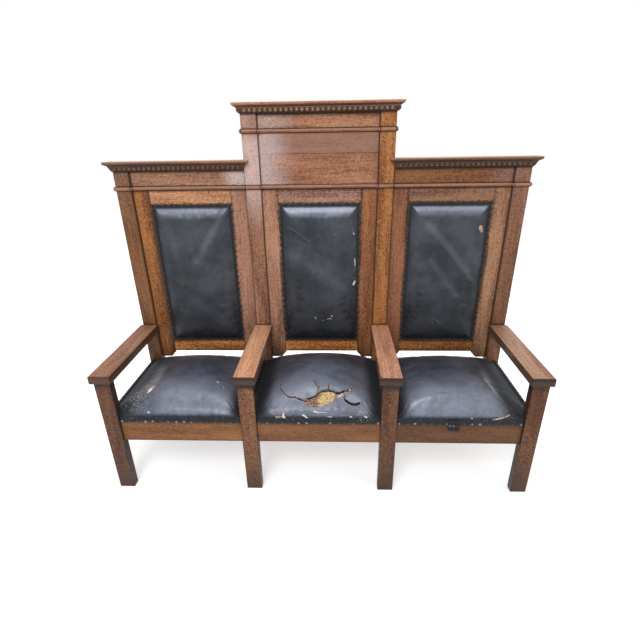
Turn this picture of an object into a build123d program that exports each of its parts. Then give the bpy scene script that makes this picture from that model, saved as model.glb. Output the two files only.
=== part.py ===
"""Three-seat oak hall bench with nailed leather seats and back pads. Millimetres, +Z up.

The front faces -Y. The origin is on the floor, in the middle of the bench's width and depth.
"""
from build123d import *
import os

os.makedirs("parts", exist_ok=True)

# Driving sizes of the bench
seat_opening = 584
leg_width = 75
leg_depth = 40
post_depth = 45
arm_length = 576
arm_width = 100
arm_thickness = 38
arm_top = 660
rail_top = 428
rail_height = 140
lower_bead_level = 1410
centre_field_height = 256
side_crest_height = 129
centre_crest_height = 122

# Fits, shared by every joint, and the overrun of every cut
joint_clearance = 0.2
soft_clearance = 0.3
cut_overrun = 5
tenon_thickness = 12
tenon_shoulder = 14
rail_tenon_share = 0.35
end_tenon_share = 0.4
edge_chamfer = 1.5

# Places that follow from the driving sizes
frames = ["left_end", "left_inner", "right_inner", "right_end"]
bays = ["left", "centre", "right"]
pitch = seat_opening + leg_width
frame_x = [(i - (len(frames) - 1) / 2) * pitch for i in range(len(frames))]
bay_x = [(i - (len(bays) - 1) / 2) * pitch for i in range(len(bays))]
half_leg = leg_width / 2
half_opening = seat_opening / 2
end_face = frame_x[-1] + half_leg
inner_face = frame_x[-2] + half_leg
upper_bead_level = lower_bead_level + centre_field_height
side_top = lower_bead_level + side_crest_height
centre_top = upper_bead_level + centre_crest_height

arm_front_overhang = 12
arm_front = -(arm_length + post_depth) / 2
leg_front = arm_front + arm_front_overhang
leg_rear = leg_front + leg_depth
post_front = arm_front + arm_length
post_rear = post_front + post_depth
rail_bottom = rail_top - rail_height
side_tenon = leg_depth * end_tenon_share
rail_tenon = leg_width * rail_tenon_share


def block(xs, ys, zs):
    """A rectangular piece between three pairs of coordinates."""
    size = [abs(b - a) for a, b in (xs, ys, zs)]
    middle = [(a + b) / 2 for a, b in (xs, ys, zs)]
    return Pos(*middle) * Box(*size)


def grown(span, by):
    """A pair of coordinates, widened at both ends."""
    return (min(span) - by, max(span) + by)


def about(middle, width):
    """A pair of coordinates, half the width on each side of the middle."""
    return (middle - width / 2, middle + width / 2)


def mortise(xs, ys, zs):
    """The cut that takes a tenon with the joint's clearance all round."""
    return block(*(grown(span, joint_clearance) for span in (xs, ys, zs)))


def along_x(face, xs):
    """A face drawn as (Y, Z), extruded between two X coordinates."""
    return Pos(min(xs), 0, 0) * extrude(Plane.YZ * face, max(xs) - min(xs))


def along_y(face, ys):
    """A face drawn as (X, Z), extruded between two Y coordinates."""
    return Pos(0, max(ys), 0) * extrude(Plane.XZ * face, max(ys) - min(ys))


def along_z(face, zs):
    """A face drawn as (X, Y), extruded between two Z coordinates."""
    return Pos(0, 0, min(zs)) * extrude(Plane.XY * face, max(zs) - min(zs))


def save(name, *pieces):
    """Writes one piece, or a group of like pieces, as one STEP file."""
    solids = [solid for piece in pieces for solid in piece.solids()]
    shape = solids[0] if len(solids) == 1 else Compound(children=solids)
    shape.label = name
    export_step(shape, f"parts/{name}.step")


# Seat rails: front and back rails are tenoned into the sides of legs and posts,
# side rails into the backs of the legs and the fronts of the posts
rail_setback = 14
back_rail_thickness = 26
end_rail_width = 45
inner_rail_width = 70
front_rail_ys = (leg_front + rail_setback, leg_rear)
back_rail_ys = (post_front, post_front + back_rail_thickness)
rail_zs = (rail_bottom, rail_top)
tenon_zs = (rail_bottom + tenon_shoulder, rail_top - tenon_shoulder)
end_rail_outer = end_face - rail_setback


def cross_tenons(middle, ys):
    """The two tenons of a front or back rail, at the ends of its bay."""
    thick = about(sum(ys) / 2, tenon_thickness)
    edges = (middle - half_opening, middle + half_opening)
    left = (edges[0] - rail_tenon, edges[0])
    right = (edges[1], edges[1] + rail_tenon)
    return [(left, thick, tenon_zs), (right, thick, tenon_zs)]


def side_rail_xs(index):
    """The width of a side rail: the two at the ends stand in from the leg's outer face."""
    if index == 0:
        return (-end_rail_outer, end_rail_width - end_rail_outer)
    if index == len(frames) - 1:
        return (end_rail_outer - end_rail_width, end_rail_outer)
    return about(frame_x[index], inner_rail_width)


def side_tenons(index):
    """The front and rear tenons of one side rail."""
    thick = about(sum(side_rail_xs(index)) / 2, tenon_thickness)
    front = (leg_rear - side_tenon, leg_rear)
    rear = (post_front, post_front + side_tenon)
    return [(thick, front, tenon_zs), (thick, rear, tenon_zs)]


for bay, middle in zip(bays, bay_x):
    for name, ys in (("front_rail", front_rail_ys), ("back_seat_rail", back_rail_ys)):
        rail = block(about(middle, seat_opening), ys, rail_zs)
        for tenon in cross_tenons(middle, ys):
            rail += block(*tenon)
        save(f"{name}_{bay}", rail)

for i, frame in enumerate(frames):
    rail = block(side_rail_xs(i), (leg_rear, post_front), rail_zs)
    for tenon in side_tenons(i):
        rail += block(*tenon)
    save(f"side_rail_{frame}", rail)

# Corner blocks, glued in the four corners of each seat frame
corner_block_leg = 55
corner_block_height = 90
corner_blocks = []
for i, middle in enumerate(bay_x):
    left = max(side_rail_xs(i))
    right = min(side_rail_xs(i + 1))
    for x, x_way in ((left, 1), (right, -1)):
        for y, y_way in ((leg_rear, 1), (post_front, -1)):
            corner = [(x, y), (x + x_way * corner_block_leg, y), (x, y + y_way * corner_block_leg)]
            triangle = make_face(Polyline(*corner, close=True))
            corner_blocks.append(along_z(triangle, about((rail_bottom + rail_top) / 2, corner_block_height)))
save("corner_blocks", *corner_blocks)

# Arms: flat boards, butted and tenoned to the posts, with the leg's top tenon below
arm_tenon_width = 50
arm_tenon_thickness = 16
leg_top_tenon_depth = 20
leg_top_tenon_height = 22
arm_corner_radius = 12
arm_edge_radius = 2.5
arm_zs = (arm_top - arm_thickness, arm_top)


def arm_tenon(x):
    """The stub tenon at the rear end of the arm."""
    return (about(x, arm_tenon_width), (post_front, post_front + side_tenon),
            about(arm_top - arm_thickness / 2, arm_tenon_thickness))


def leg_top_tenon(x):
    """The tenon on top of the leg, into the underside of the arm."""
    return (about(x, arm_tenon_width), about(leg_front + leg_depth / 2, leg_top_tenon_depth),
            (arm_zs[0], arm_zs[0] + leg_top_tenon_height))


for frame, x in zip(frames, frame_x):
    arm = block(about(x, arm_width), (arm_front, post_front), arm_zs)
    outer_side = -1 if x < 0 else 1
    if frame.endswith("end"):
        upright = arm.edges().filter_by(Axis.Z).group_by(Axis.Y)[-1].sort_by(Axis.X)
        arm = fillet(upright[0 if outer_side < 0 else -1], arm_corner_radius)
    arm = fillet(arm.faces().sort_by(Axis.Z)[-1].edges(), arm_edge_radius)
    arm += block(*arm_tenon(x))
    arm -= mortise(*leg_top_tenon(x))
    save(f"arm_{frame}", arm)

# Front legs
for i, (frame, x) in enumerate(zip(frames, frame_x)):
    leg = block(about(x, leg_width), (leg_front, leg_rear), (0, arm_zs[0]))
    leg = chamfer(leg.edges().filter_by(Axis.Z) + leg.faces().sort_by(Axis.Z)[0].edges(), edge_chamfer)
    leg += block(*leg_top_tenon(x))
    for middle in bay_x:
        for tenon in cross_tenons(middle, front_rail_ys):
            leg -= mortise(*tenon)
    leg -= mortise(*side_tenons(i)[0])
    save(f"front_leg_{frame}", leg)

# Mouldings are drawn as (projection, level, kind of line that leads there), bottom to top.
# An "end_level" arc has its centre level with its end, a "start_level" arc with its start
cap_height = 18
cap_soffit = 22
cap_projection = 32
cap_quirk = 2
cap_quarter = 10
cap_round = 3
strip_height = 28
strip_cove = 8
strip_top = 19
strip_shelf = 14
strip_foot = 5
strip_fillet = 4
bead_height = 22
bead_projection = 9
quarter_share = 0.5 ** 0.5

cap_profile = [
    (cap_soffit, 0, "start"),
    (cap_soffit, cap_quirk, "line"),
    (cap_projection, cap_quirk + cap_quarter, "end_level"),
    (cap_projection, cap_height - cap_round, "line"),
    (cap_projection - cap_round, cap_height, "start_level"),
]
strip_profile = [
    (strip_foot, 0, "start"),
    (strip_foot, strip_fillet, "line"),
    (strip_shelf, strip_height - strip_cove, "line"),
    (strip_top, strip_height, "start_level"),
]
bead_profile = [
    (0, 0, "start"),
    (bead_projection, bead_height / 2, "end_level"),
    (0, bead_height, "start_level"),
]


def drawn(profile, base, way, level):
    """The lines of a moulding profile, standing out from a base line in one direction."""
    edges = []
    for (p0, z0, _), (p1, z1, kind) in zip(profile, profile[1:]):
        start = (base + way * p0, level + z0)
        end = (base + way * p1, level + z1)
        if kind == "line":
            edges.append(Line(start, end))
            continue
        centre = (p0, z1) if kind == "end_level" else (p1, z0)
        via_p = centre[0] + quarter_share * (p0 + p1 - 2 * centre[0])
        via_z = centre[1] + quarter_share * (z0 + z1 - 2 * centre[1])
        edges.append(ThreePointArc(start, (base + way * via_p, level + via_z), end))
    return edges


def profile_face(left, right):
    """The face between two lists of edges that both run upwards."""
    ends = [(left[0] @ 0, right[0] @ 0), (left[-1] @ 1, right[-1] @ 1)]
    return make_face(left + right + [Line(a, b) for a, b in ends if (a - b).length > 0])


def plumb(base, profile, level):
    """A plain vertical line as high as a profile."""
    return [Line((base, level + profile[0][1]), (base, level + profile[-1][1]))]


def run(profile, level, xs, left_return, right_return, ys):
    """A front moulding with mitred returns, between two depths: it stands out of post_front."""
    left = drawn(profile, xs[0], -1, level) if left_return else plumb(xs[0], profile, level)
    right = drawn(profile, xs[1], 1, level) if right_return else plumb(xs[1], profile, level)
    front = profile_face(drawn(profile, post_front, -1, level), plumb(post_rear, profile, level))
    reach = grown(xs, cap_projection + cut_overrun)
    return along_x(front, reach) & along_y(profile_face(left, right), ys)


# Cornices: a cap board over a carved strip. The side ones stop short of the inner posts,
# where they return on themselves in front of the post's face
inner_end_gap = 8
lug_pitch = 25
lug_radius = 8.5
lug_seat = 7
lug_out = 9
lug_taper = 32
lug_sides = 8
side_cap_bottom = side_top - cap_height
centre_cap_bottom = centre_top - cap_height
before_posts = (post_front - cap_projection - cut_overrun, post_front)
beside_posts = (post_front, post_rear)
side_front_xs = (inner_face + inner_end_gap, end_face)
side_rear_xs = (inner_face, end_face)
centre_xs = (-inner_face, inner_face)

side_cap = run(cap_profile, side_cap_bottom, side_front_xs, True, True, before_posts)
side_cap += run(cap_profile, side_cap_bottom, side_rear_xs, False, True, beside_posts)
centre_cap = run(cap_profile, centre_cap_bottom, centre_xs, True, True,
                 (before_posts[0], post_rear))
save("cornice_cap_right", side_cap)
save("cornice_cap_left", mirror(side_cap, about=Plane.YZ))
save("cornice_cap_centre", centre_cap)


def spread(span, inset):
    """Evenly pitched places along a span, centred in it."""
    room = max(span) - min(span) - 2 * inset
    count = max(int(room // lug_pitch), 0) + 1
    middle = sum(span) / 2
    return [middle + (i - (count - 1) / 2) * lug_pitch for i in range(count)]


def lug(plane):
    """One carved bead: a tapered boss with few sides."""
    return extrude(plane * RegularPolygon(lug_radius, lug_sides), lug_out, taper=lug_taper)


def carved_strip(level, xs, left_return):
    """The carved moulding below a cap, with beads on its slope and its returns."""
    strip = run(strip_profile, level, xs, left_return, True, before_posts)
    strip += run(strip_profile, level, (xs[1], xs[1]), False, True, beside_posts)
    middle = level + (strip_fillet + strip_height - strip_cove) / 2
    lugs = [lug(Plane.XZ.offset(lug_seat - post_front) * Pos(x, middle, 0))
            for x in spread(xs, lug_radius / 2)]
    side = Plane.YZ.offset(xs[1] + lug_seat)
    lugs += [lug(side * Pos(y, middle, 0)) for y in spread((post_front, post_rear), lug_radius)]
    return strip + lugs


# Behind the strip, a packing piece of the same stick fills the recess between the posts
back_setback = 16
back_front = post_front + back_setback
packing_ys = (post_front, back_front)
side_level = side_cap_bottom - strip_height
centre_level = centre_cap_bottom - strip_height
side_strip = carved_strip(side_level, side_front_xs, True)
side_strip += block(about(bay_x[-1], seat_opening), packing_ys, (side_level, side_cap_bottom))
half_strip = carved_strip(centre_level, (0, inner_face), False)
centre_strip = half_strip + mirror(half_strip, about=Plane.YZ)
centre_strip += block(about(0, seat_opening), packing_ys, (centre_level, centre_cap_bottom))
save("carved_mouldings", side_strip, mirror(side_strip, about=Plane.YZ), centre_strip)

# The back: stiles and rails frame a board behind each pad, and wide boards close the rest.
# Everything between two posts is housed in grooves in their sides
back_thickness = 22
housing_depth = 8
stile_width = 84
back_rail_height = 70
back_rail_bottom = 486
stile_drop = 38
stile_cut_width = 27
stile_cut_height = 31
stile_tenon_share = 0.4
back_tenon_thickness = 8
back_tenon_shoulder = 10
board_setback = 3
board_thickness = 14
board_tongue = 8
board_tongue_thickness = 6
field_seam_share = 0.6
back_ys = (back_front, back_front + back_thickness)
back_middle = sum(back_ys) / 2
pad_bottom = back_rail_bottom + back_rail_height
pad_top = lower_bead_level - bead_height / 2 - back_rail_height
stile_bottom = back_rail_bottom - stile_drop
pad_half = half_opening - stile_width
stile_tenon = stile_width * stile_tenon_share
board_front = back_front + board_setback
board_ys = (board_front, board_front + board_thickness)
tongue_ys = about(sum(board_ys) / 2, board_tongue_thickness)
top_rail_zs = (pad_top, lower_bead_level)
bottom_rail_zs = (back_rail_bottom, pad_bottom)


def board(middle):
    """The panel behind a pad, with its tongue all round."""
    tongue = board_tongue - joint_clearance
    xs = about(middle, 2 * pad_half)
    panel = block(xs, board_ys, (pad_bottom, pad_top))
    return panel + block(grown(xs, tongue), tongue_ys, grown((pad_bottom, pad_top), tongue))


def board_groove(middle):
    """The groove that the panel's tongue lies in, cut in stiles and rails."""
    return block(grown(about(middle, 2 * pad_half), board_tongue), grown(tongue_ys, joint_clearance),
                 grown((pad_bottom, pad_top), board_tongue))


def stile_tenons(middle, zs):
    """The two tenons of a top or bottom rail of the back."""
    ys = about(back_middle, back_tenon_thickness)
    tenon_levels = grown(zs, -back_tenon_shoulder)
    edges = (middle - pad_half, middle + pad_half)
    return [((edges[0] - stile_tenon, edges[0]), ys, tenon_levels),
            ((edges[1], edges[1] + stile_tenon), ys, tenon_levels)]


def stile(middle, side):
    """A stile on one side of a bay, with its chamfered foot: side is -1 or 1."""
    post_edge = middle + side * (half_opening + housing_depth)
    pad_edge = middle + side * pad_half
    corner = pad_edge + side * stile_cut_width
    outline = [(post_edge, stile_bottom), (post_edge, lower_bead_level), (pad_edge, lower_bead_level),
               (pad_edge, stile_bottom + stile_cut_height), (corner, stile_bottom)]
    piece = along_y(make_face(Polyline(*outline, close=True)), back_ys)
    piece -= board_groove(middle)
    for zs in (top_rail_zs, bottom_rail_zs):
        for tenon in stile_tenons(middle, zs):
            piece -= mortise(*tenon)
    return piece


stile_names = [("left_outer", "left_inner"), ("centre_left", "centre_right"), ("right_inner", "right_outer")]
for bay, middle, names in zip(bays, bay_x, stile_names):
    for name, side in zip(names, (-1, 1)):
        save(f"back_stile_{name}", stile(middle, side))
    for name, zs in (("back_top_rail", top_rail_zs), ("back_bottom_rail", bottom_rail_zs)):
        rail = block(about(middle, 2 * pad_half), back_ys, zs)
        for tenon in stile_tenons(middle, zs):
            rail += block(*tenon)
        rail -= board_groove(middle)
        save(f"{name}_{bay}", rail)
    save(f"pad_board_{bay}", board(middle))

field_seam = lower_bead_level + field_seam_share * (upper_bead_level - lower_bead_level)
housed = about(0, seat_opening + 2 * housing_depth)
save("centre_field_boards",
     block(housed, back_ys, (lower_bead_level, field_seam)),
     block(housed, back_ys, (field_seam, upper_bead_level)))
for bay, middle in zip(bays, bay_x):
    centre_bay = bay == "centre"
    zs = (upper_bead_level, centre_cap_bottom) if centre_bay else (lower_bead_level, side_cap_bottom)
    save(f"frieze_board_{bay}", Pos(middle, 0, 0) * block(housed, back_ys, zs))

# Back posts, grooved for the back and cut for the tenons
for i, (frame, x) in enumerate(zip(frames, frame_x)):
    end_post = frame.endswith("end")
    height = side_cap_bottom if end_post else centre_cap_bottom
    post = block(about(x, leg_width), (post_front, post_rear), (0, height))
    post = chamfer(post.faces().sort_by(Axis.Y)[0].edges().filter_by(Axis.Z), edge_chamfer)
    post = chamfer(post.faces().sort_by(Axis.Z)[0].edges(), edge_chamfer)
    for bay, middle in zip(bays, bay_x):
        groove_top = centre_cap_bottom if bay == "centre" else side_cap_bottom
        reach = about(middle, seat_opening + 2 * (housing_depth + joint_clearance))
        post -= block(reach, grown(back_ys, joint_clearance),
                      (stile_bottom - joint_clearance, groove_top))
        for tenon in cross_tenons(middle, back_rail_ys):
            post -= mortise(*tenon)
    post -= mortise(*side_tenons(i)[1])
    post -= mortise(*arm_tenon(x))
    save(f"back_post_{frame}", post)

# Half-round beads between the posts, and the collars that carry them round the posts
bead_stop = bead_projection + joint_clearance


def bead(middle, level):
    """A bead planted on the back between two posts, centred on its level."""
    zs_from = level - bead_height / 2
    face = profile_face(drawn(bead_profile, back_front, -1, zs_from),
                        plumb(back_front, bead_profile, zs_from))
    return along_x(face, about(middle, seat_opening - 2 * bead_stop))


def collar(x, level, left_depth, right_depth):
    """A bead round the front and sides of a post, its side legs running back to two depths."""
    zs_from = level - bead_height / 2
    xs = about(x, leg_width)
    ring = run(bead_profile, zs_from, xs, True, True, (before_posts[0], post_rear))
    ring -= block(xs, (post_front, post_rear + cut_overrun), grown((zs_from, zs_from + bead_height), cut_overrun))
    for side, depth in ((-1, left_depth), (1, right_depth)):
        edge = x + side * half_leg
        beyond = (edge, edge + side * (bead_projection + cut_overrun))
        if depth < post_rear:
            ring -= block(beyond, (depth, post_rear + cut_overrun),
                          grown((zs_from, zs_from + bead_height), cut_overrun))
    return ring


save("bead_mouldings", *[bead(middle, lower_bead_level) for middle in bay_x],
     bead(0, upper_bead_level))
collars = []
for i, x in enumerate(frame_x):
    left_depth = post_rear if i == 0 else back_front
    right_depth = post_rear if i == len(frames) - 1 else back_front
    collars.append(collar(x, lower_bead_level, left_depth, right_depth))
collars.append(collar(frame_x[1], upper_bead_level, post_rear, back_front))
collars.append(collar(frame_x[2], upper_bead_level, back_front, post_rear))
save("post_collars", *collars)

# Upholstery: leather nailed down at a flat border, over a stuffing that swells in the middle.
# The two arched outlines of a swelling meet in soft mitres at its corners. One of them is
# lifted, so that the mitres end in a smooth ridge along the middle
seat_leather = 2.5
seat_border = 20
rear_border = 12
leather_gap = 2
band_drop = 36
seat_shoulder = 85
side_seat_crown = 98
side_seat_rise = 20
centre_seat_crown = 120
centre_seat_rise = 28
ridge_lift = 6
webbing_width = 50
webbing_thickness = 2
webbing_inset = 2
webbing_down = 5
webbing_across = 4
pad_leather = 2
pad_border = 16
pad_depth = 26
pad_shoulder = 40
pad_rise = 5
pad_lift = 1


def arch(half, height, shoulder, rise, place):
    """A swelling's outline: a steep arc at each side, running smoothly into a flatter crown."""
    across = half - shoulder
    side = height - rise
    crown = ThreePointArc(place(-across, side), place(0, height), place(across, side))
    left = TangentArc(crown @ 0, place(-half, 0), tangent=-(crown % 0))
    right = TangentArc(crown @ 1, place(half, 0), tangent=crown % 1)
    return make_face([left, crown, right, Line(place(-half, 0), place(half, 0))])


def seat_swelling(xs, ys, base, crown, rise, inset):
    """The domed body of a seat over a rectangle, drawn in all round by an inset."""
    half_x = (xs[1] - xs[0]) / 2 - inset
    half_y = (ys[1] - ys[0]) / 2 - inset
    across = arch(half_x, crown - inset, seat_shoulder, rise,
                  lambda u, w: (sum(xs) / 2 + u, base + w))
    along = arch(half_y, crown - inset + ridge_lift, seat_shoulder, rise + ridge_lift,
                 lambda u, w: (sum(ys) / 2 + u, base + w))
    return along_y(across, grown(ys, cut_overrun)) & along_x(along, grown(xs, cut_overrun))


def pad_swelling(middle, inset):
    """The body of a back pad, standing out of its panel towards -Y."""
    base = board_front - soft_clearance
    half_x = pad_half - pad_border - inset
    half_z = (pad_top - pad_bottom) / 2 - pad_border - inset
    level = (pad_top + pad_bottom) / 2
    across = arch(half_x, pad_depth - inset, pad_shoulder, pad_rise,
                  lambda u, w: (middle + u, base - w))
    along = arch(half_z, pad_depth - inset + pad_lift, pad_shoulder, pad_rise + pad_lift,
                 lambda u, w: (base - w, level + u))
    return along_z(across, (pad_bottom, pad_top)) & along_x(along, about(middle, 2 * pad_half))


def corners(index, clearance):
    """The legs and posts on both sides of a bay, grown by a clearance, that the seat goes round."""
    cuts = []
    for x in (frame_x[index], frame_x[index + 1]):
        for ys in ((leg_front, leg_rear), (post_front, post_rear)):
            cuts.append(block(grown(about(x, leg_width), clearance), grown(ys, clearance),
                              (rail_bottom, arm_top)))
    return cuts


leather_base = rail_top + soft_clearance
leather_front = front_rail_ys[0] - soft_clearance - seat_leather
dome_ys = (leather_front, back_rail_ys[1] - rear_border)
webbing_top = rail_top + 2 * webbing_thickness
webbing = []
for i, (bay, middle) in enumerate(zip(bays, bay_x)):
    left = -end_rail_outer if i == 0 else frame_x[i] + leather_gap / 2
    right = end_rail_outer if i == len(bays) - 1 else frame_x[i + 1] - leather_gap / 2
    dome_xs = grown((left, right), -seat_border)
    crown = centre_seat_crown if bay == "centre" else side_seat_crown
    rise = centre_seat_rise if bay == "centre" else side_seat_rise
    between_legs = grown(about(middle, seat_opening), -soft_clearance)
    between_ends = grown((leg_rear, post_front), -soft_clearance)
    sheet_zs = (leather_base, leather_base + seat_leather)

    cover = seat_swelling(dome_xs, dome_ys, leather_base, crown, rise, 0)
    cover += block((left, right), between_ends, sheet_zs)
    cover += block(between_legs, (leather_front, back_rail_ys[1]), sheet_zs)
    cover += block(between_legs, (leather_front, leather_front + seat_leather),
                   (rail_top - band_drop, sheet_zs[1]))
    cover -= seat_swelling(dome_xs, dome_ys, leather_base, crown, rise, seat_leather)
    cover -= corners(i, soft_clearance)
    save(f"seat_leather_{bay}", cover)

    inside = seat_leather + soft_clearance
    stuffing = seat_swelling(dome_xs, dome_ys, leather_base, crown, rise, inside)
    stuffing -= block(grown((left, right), cut_overrun), (arm_front, post_rear),
                      (rail_bottom, webbing_top + soft_clearance))
    stuffing -= corners(i, soft_clearance + inside)
    save(f"seat_stuffing_{bay}", stuffing)

    strip_ys = grown(dome_ys, -(seat_leather + webbing_inset))
    strip_xs = grown(dome_xs, -(seat_leather + webbing_inset))
    for j in range(webbing_down):
        x = middle + (j - (webbing_down - 1) / 2) * seat_opening / webbing_down
        webbing.append(block(about(x, webbing_width), strip_ys, (rail_top, rail_top + webbing_thickness)))
    for j in range(webbing_across):
        y = leg_rear + (j + 1 / 2) * (post_front - leg_rear) / webbing_across
        webbing.append(block(strip_xs, about(y, webbing_width), (rail_top + webbing_thickness, webbing_top)))

    pad = pad_swelling(middle, 0)
    pad_sheet_ys = (board_front - soft_clearance - pad_leather, board_front - soft_clearance)
    pad += block(about(middle, 2 * (pad_half - soft_clearance)), pad_sheet_ys,
                 grown((pad_bottom, pad_top), -soft_clearance))
    pad -= pad_swelling(middle, pad_leather)
    save(f"back_pad_leather_{bay}", pad)
save("seat_webbing", *webbing)
save("back_pad_stuffing", *[pad_swelling(middle, pad_leather + soft_clearance) for middle in bay_x])

# A leather tab, nailed over the lower edge of the right seat's leather
tab_width = 56
tab_offset = 28
tab_top_gap = 2
tab_drop = 58
tab_top = rail_top - tab_top_gap
save("leather_tab", block(about(bay_x[-1] - tab_offset, tab_width),
                          (leather_front - soft_clearance - seat_leather, leather_front - soft_clearance),
                          (tab_top - tab_drop, tab_top)))
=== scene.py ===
"""Looks of a three-seat oak hall bench with nailed leather seats and back pads. Metres, +Z up."""
import math
import bmesh
import bpy
import numpy as np
from mathutils import Matrix, Vector
from mathutils.bvhtree import BVHTree
from mathutils.geometry import intersect_point_line

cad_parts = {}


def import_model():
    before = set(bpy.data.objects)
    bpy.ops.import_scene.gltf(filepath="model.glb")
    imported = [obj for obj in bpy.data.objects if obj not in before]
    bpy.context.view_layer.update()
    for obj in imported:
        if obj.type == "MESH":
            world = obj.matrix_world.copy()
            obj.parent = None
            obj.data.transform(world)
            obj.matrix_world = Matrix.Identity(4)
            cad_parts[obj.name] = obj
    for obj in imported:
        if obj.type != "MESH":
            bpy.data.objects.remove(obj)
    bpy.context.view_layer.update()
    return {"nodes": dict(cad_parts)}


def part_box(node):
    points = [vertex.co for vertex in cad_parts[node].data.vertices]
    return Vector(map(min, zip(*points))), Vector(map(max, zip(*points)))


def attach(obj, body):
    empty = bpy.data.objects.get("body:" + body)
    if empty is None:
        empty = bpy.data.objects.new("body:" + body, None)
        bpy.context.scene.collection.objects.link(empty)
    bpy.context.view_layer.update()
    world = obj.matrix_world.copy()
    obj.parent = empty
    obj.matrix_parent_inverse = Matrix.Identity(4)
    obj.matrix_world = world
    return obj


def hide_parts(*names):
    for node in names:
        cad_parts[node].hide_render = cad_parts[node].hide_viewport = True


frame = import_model()


# Camera, floor and light. The bench was photographed from above eye level, a little to the
# right of its middle, with a wide lens. It stands on a pale floor under soft daylight
view = bpy.data.cameras.new("view")
view.sensor_width = 36.0
view.lens = 23.583
camera = bpy.data.objects.new("view", view)
bpy.context.scene.collection.objects.link(camera)
camera_turn, camera_tilt, camera_roll = 0.04008, 0.41257, -0.01614
camera.matrix_world = (Matrix.Translation((0.08076, -1.90117, 1.63826))
                       @ Matrix.Rotation(camera_turn, 4, "Z")
                       @ Matrix.Rotation(math.pi / 2 - camera_tilt, 4, "X")
                       @ Matrix.Rotation(camera_roll, 4, "Z"))
bpy.context.scene.camera = camera
bpy.context.scene.view_settings.view_transform = "Standard"


class Wire:
    """A socket of a shader tree that can be used in sums."""

    def __init__(self, finish, socket):
        self.finish, self.socket = finish, socket

    def sum(self, operation, first, second=0.0):
        return self.finish.node("Math", {"operation": operation}, {0: first, 1: second})

    def __add__(self, other):
        return self.sum("ADD", self, other)

    def __sub__(self, other):
        return self.sum("SUBTRACT", self, other)

    def __rsub__(self, other):
        return self.sum("SUBTRACT", other, self)

    def __mul__(self, other):
        return self.sum("MULTIPLY", self, other)

    def __abs__(self):
        return self.sum("ABSOLUTE", self)

    def least(self, other):
        return self.sum("MINIMUM", self, other)

    def most(self, other):
        return self.sum("MAXIMUM", self, other)

    __radd__ = __add__
    __rmul__ = __mul__


class Finish:
    """A material built node by node around its Principled shader."""

    def __init__(self, name, **constants):
        self.material = bpy.data.materials.new(name)
        self.material.use_nodes = True
        self.tree = self.material.node_tree
        self.shader = self.tree.nodes["Principled BSDF"]
        for socket, value in constants.items():
            self.shader.inputs[socket.replace("_", " ")].default_value = value

    def node(self, kind, settings=None, inputs=None, output=0):
        """One node, from its type, its settings, the values or wires of its sockets and the output used."""
        made = self.tree.nodes.new("ShaderNode" + kind)
        for name, value in (settings or {}).items():
            if name == "stops":
                for spare in range(len(value) - 2):
                    made.color_ramp.elements.new(0.5)
                for stop, (place, colour) in zip(made.color_ramp.elements, value):
                    stop.position = place
                    stop.color = (*colour, 1)
            else:
                setattr(made, name, value)
        for name, value in (inputs or {}).items():
            if isinstance(value, Wire):
                self.tree.links.new(value.socket, made.inputs[name])
            else:
                made.inputs[name].default_value = value
        return Wire(self, made.outputs[output])

    def place(self):
        """The three object coordinates of a surface point."""
        point = self.node("TexCoord", output="Object")
        return [self.node("SeparateXYZ", inputs={0: point}, output=axis) for axis in range(3)]

    def noise(self, x, y, z, detail=2.0, roughness=0.5, distortion=0.0):
        spot = self.node("CombineXYZ", inputs={0: x, 1: y, 2: z})
        return self.node("TexNoise", inputs={"Vector": spot, "Scale": 1.0, "Detail": detail,
                                             "Roughness": roughness, "Distortion": distortion})

    def between(self, value, low, high):
        """Rises from 0 to 1 while a value goes from low to high, in either order."""
        return self.node("MapRange", {"interpolation_type": "SMOOTHSTEP"},
                         {"Value": value, "From Min": low, "From Max": high})

    def mix(self, share, first, second):
        """A colour between two colours, each a wire or three numbers."""
        ends = [end if isinstance(end, Wire) else (*end, 1) for end in (first, second)]
        return self.node("Mix", {"data_type": "RGBA"}, {0: share, 6: ends[0], 7: ends[1]}, output=2)

    def bump(self, height, strength, distance):
        return self.node("Bump", inputs={"Strength": strength, "Distance": distance, "Height": height})

    def give(self, **sockets):
        """Feeds the shader's sockets and returns the material."""
        for name, wire in sockets.items():
            self.tree.links.new(wire.socket, self.shader.inputs[name.replace("_", " ")])
        return self.material


def pale_floor():
    """Pale grey, and near white where the camera sees it, straight or by a reflection."""
    finish = Finish("pale_floor", Roughness=0.9, Specular_IOR_Level=0.1, Emission_Strength=1.0)
    x, y, z = finish.place()
    speckle = finish.noise(x * 40, y * 40, z, detail=3)
    camera_ray, glossy, through = [finish.node("LightPath", output=f"Is {kind} Ray")
                                   for kind in ("Camera", "Glossy", "Transmission")]
    seen = (camera_ray + glossy + through).least(1.0)
    return finish.give(Base_Color=finish.mix(speckle, (0.82, 0.82, 0.82), (0.86, 0.86, 0.86)),
                       Emission_Color=finish.mix(seen, (0.0, 0.0, 0.0), (0.52, 0.52, 0.52)))


def make_mesh(name, points, faces, material=None, smooth=True):
    """A mesh object at the origin, from corner points and faces."""
    mesh = bpy.data.meshes.new(name)
    mesh.from_pydata([tuple(map(float, point)) for point in points], [],
                     [tuple(map(int, face)) for face in faces])
    mesh.polygons.foreach_set("use_smooth", [smooth] * len(mesh.polygons))
    mesh.update()
    made = bpy.data.objects.new(name, mesh)
    bpy.context.scene.collection.objects.link(made)
    if material:
        mesh.materials.append(material)
    return made


floor_half = 12
floor_corners = [(x * floor_half, y * floor_half, 0) for x, y in ((-1, -1), (1, -1), (1, 1), (-1, 1))]
floor = make_mesh("floor", floor_corners, [(0, 1, 2, 3)], pale_floor(), smooth=False)

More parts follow.
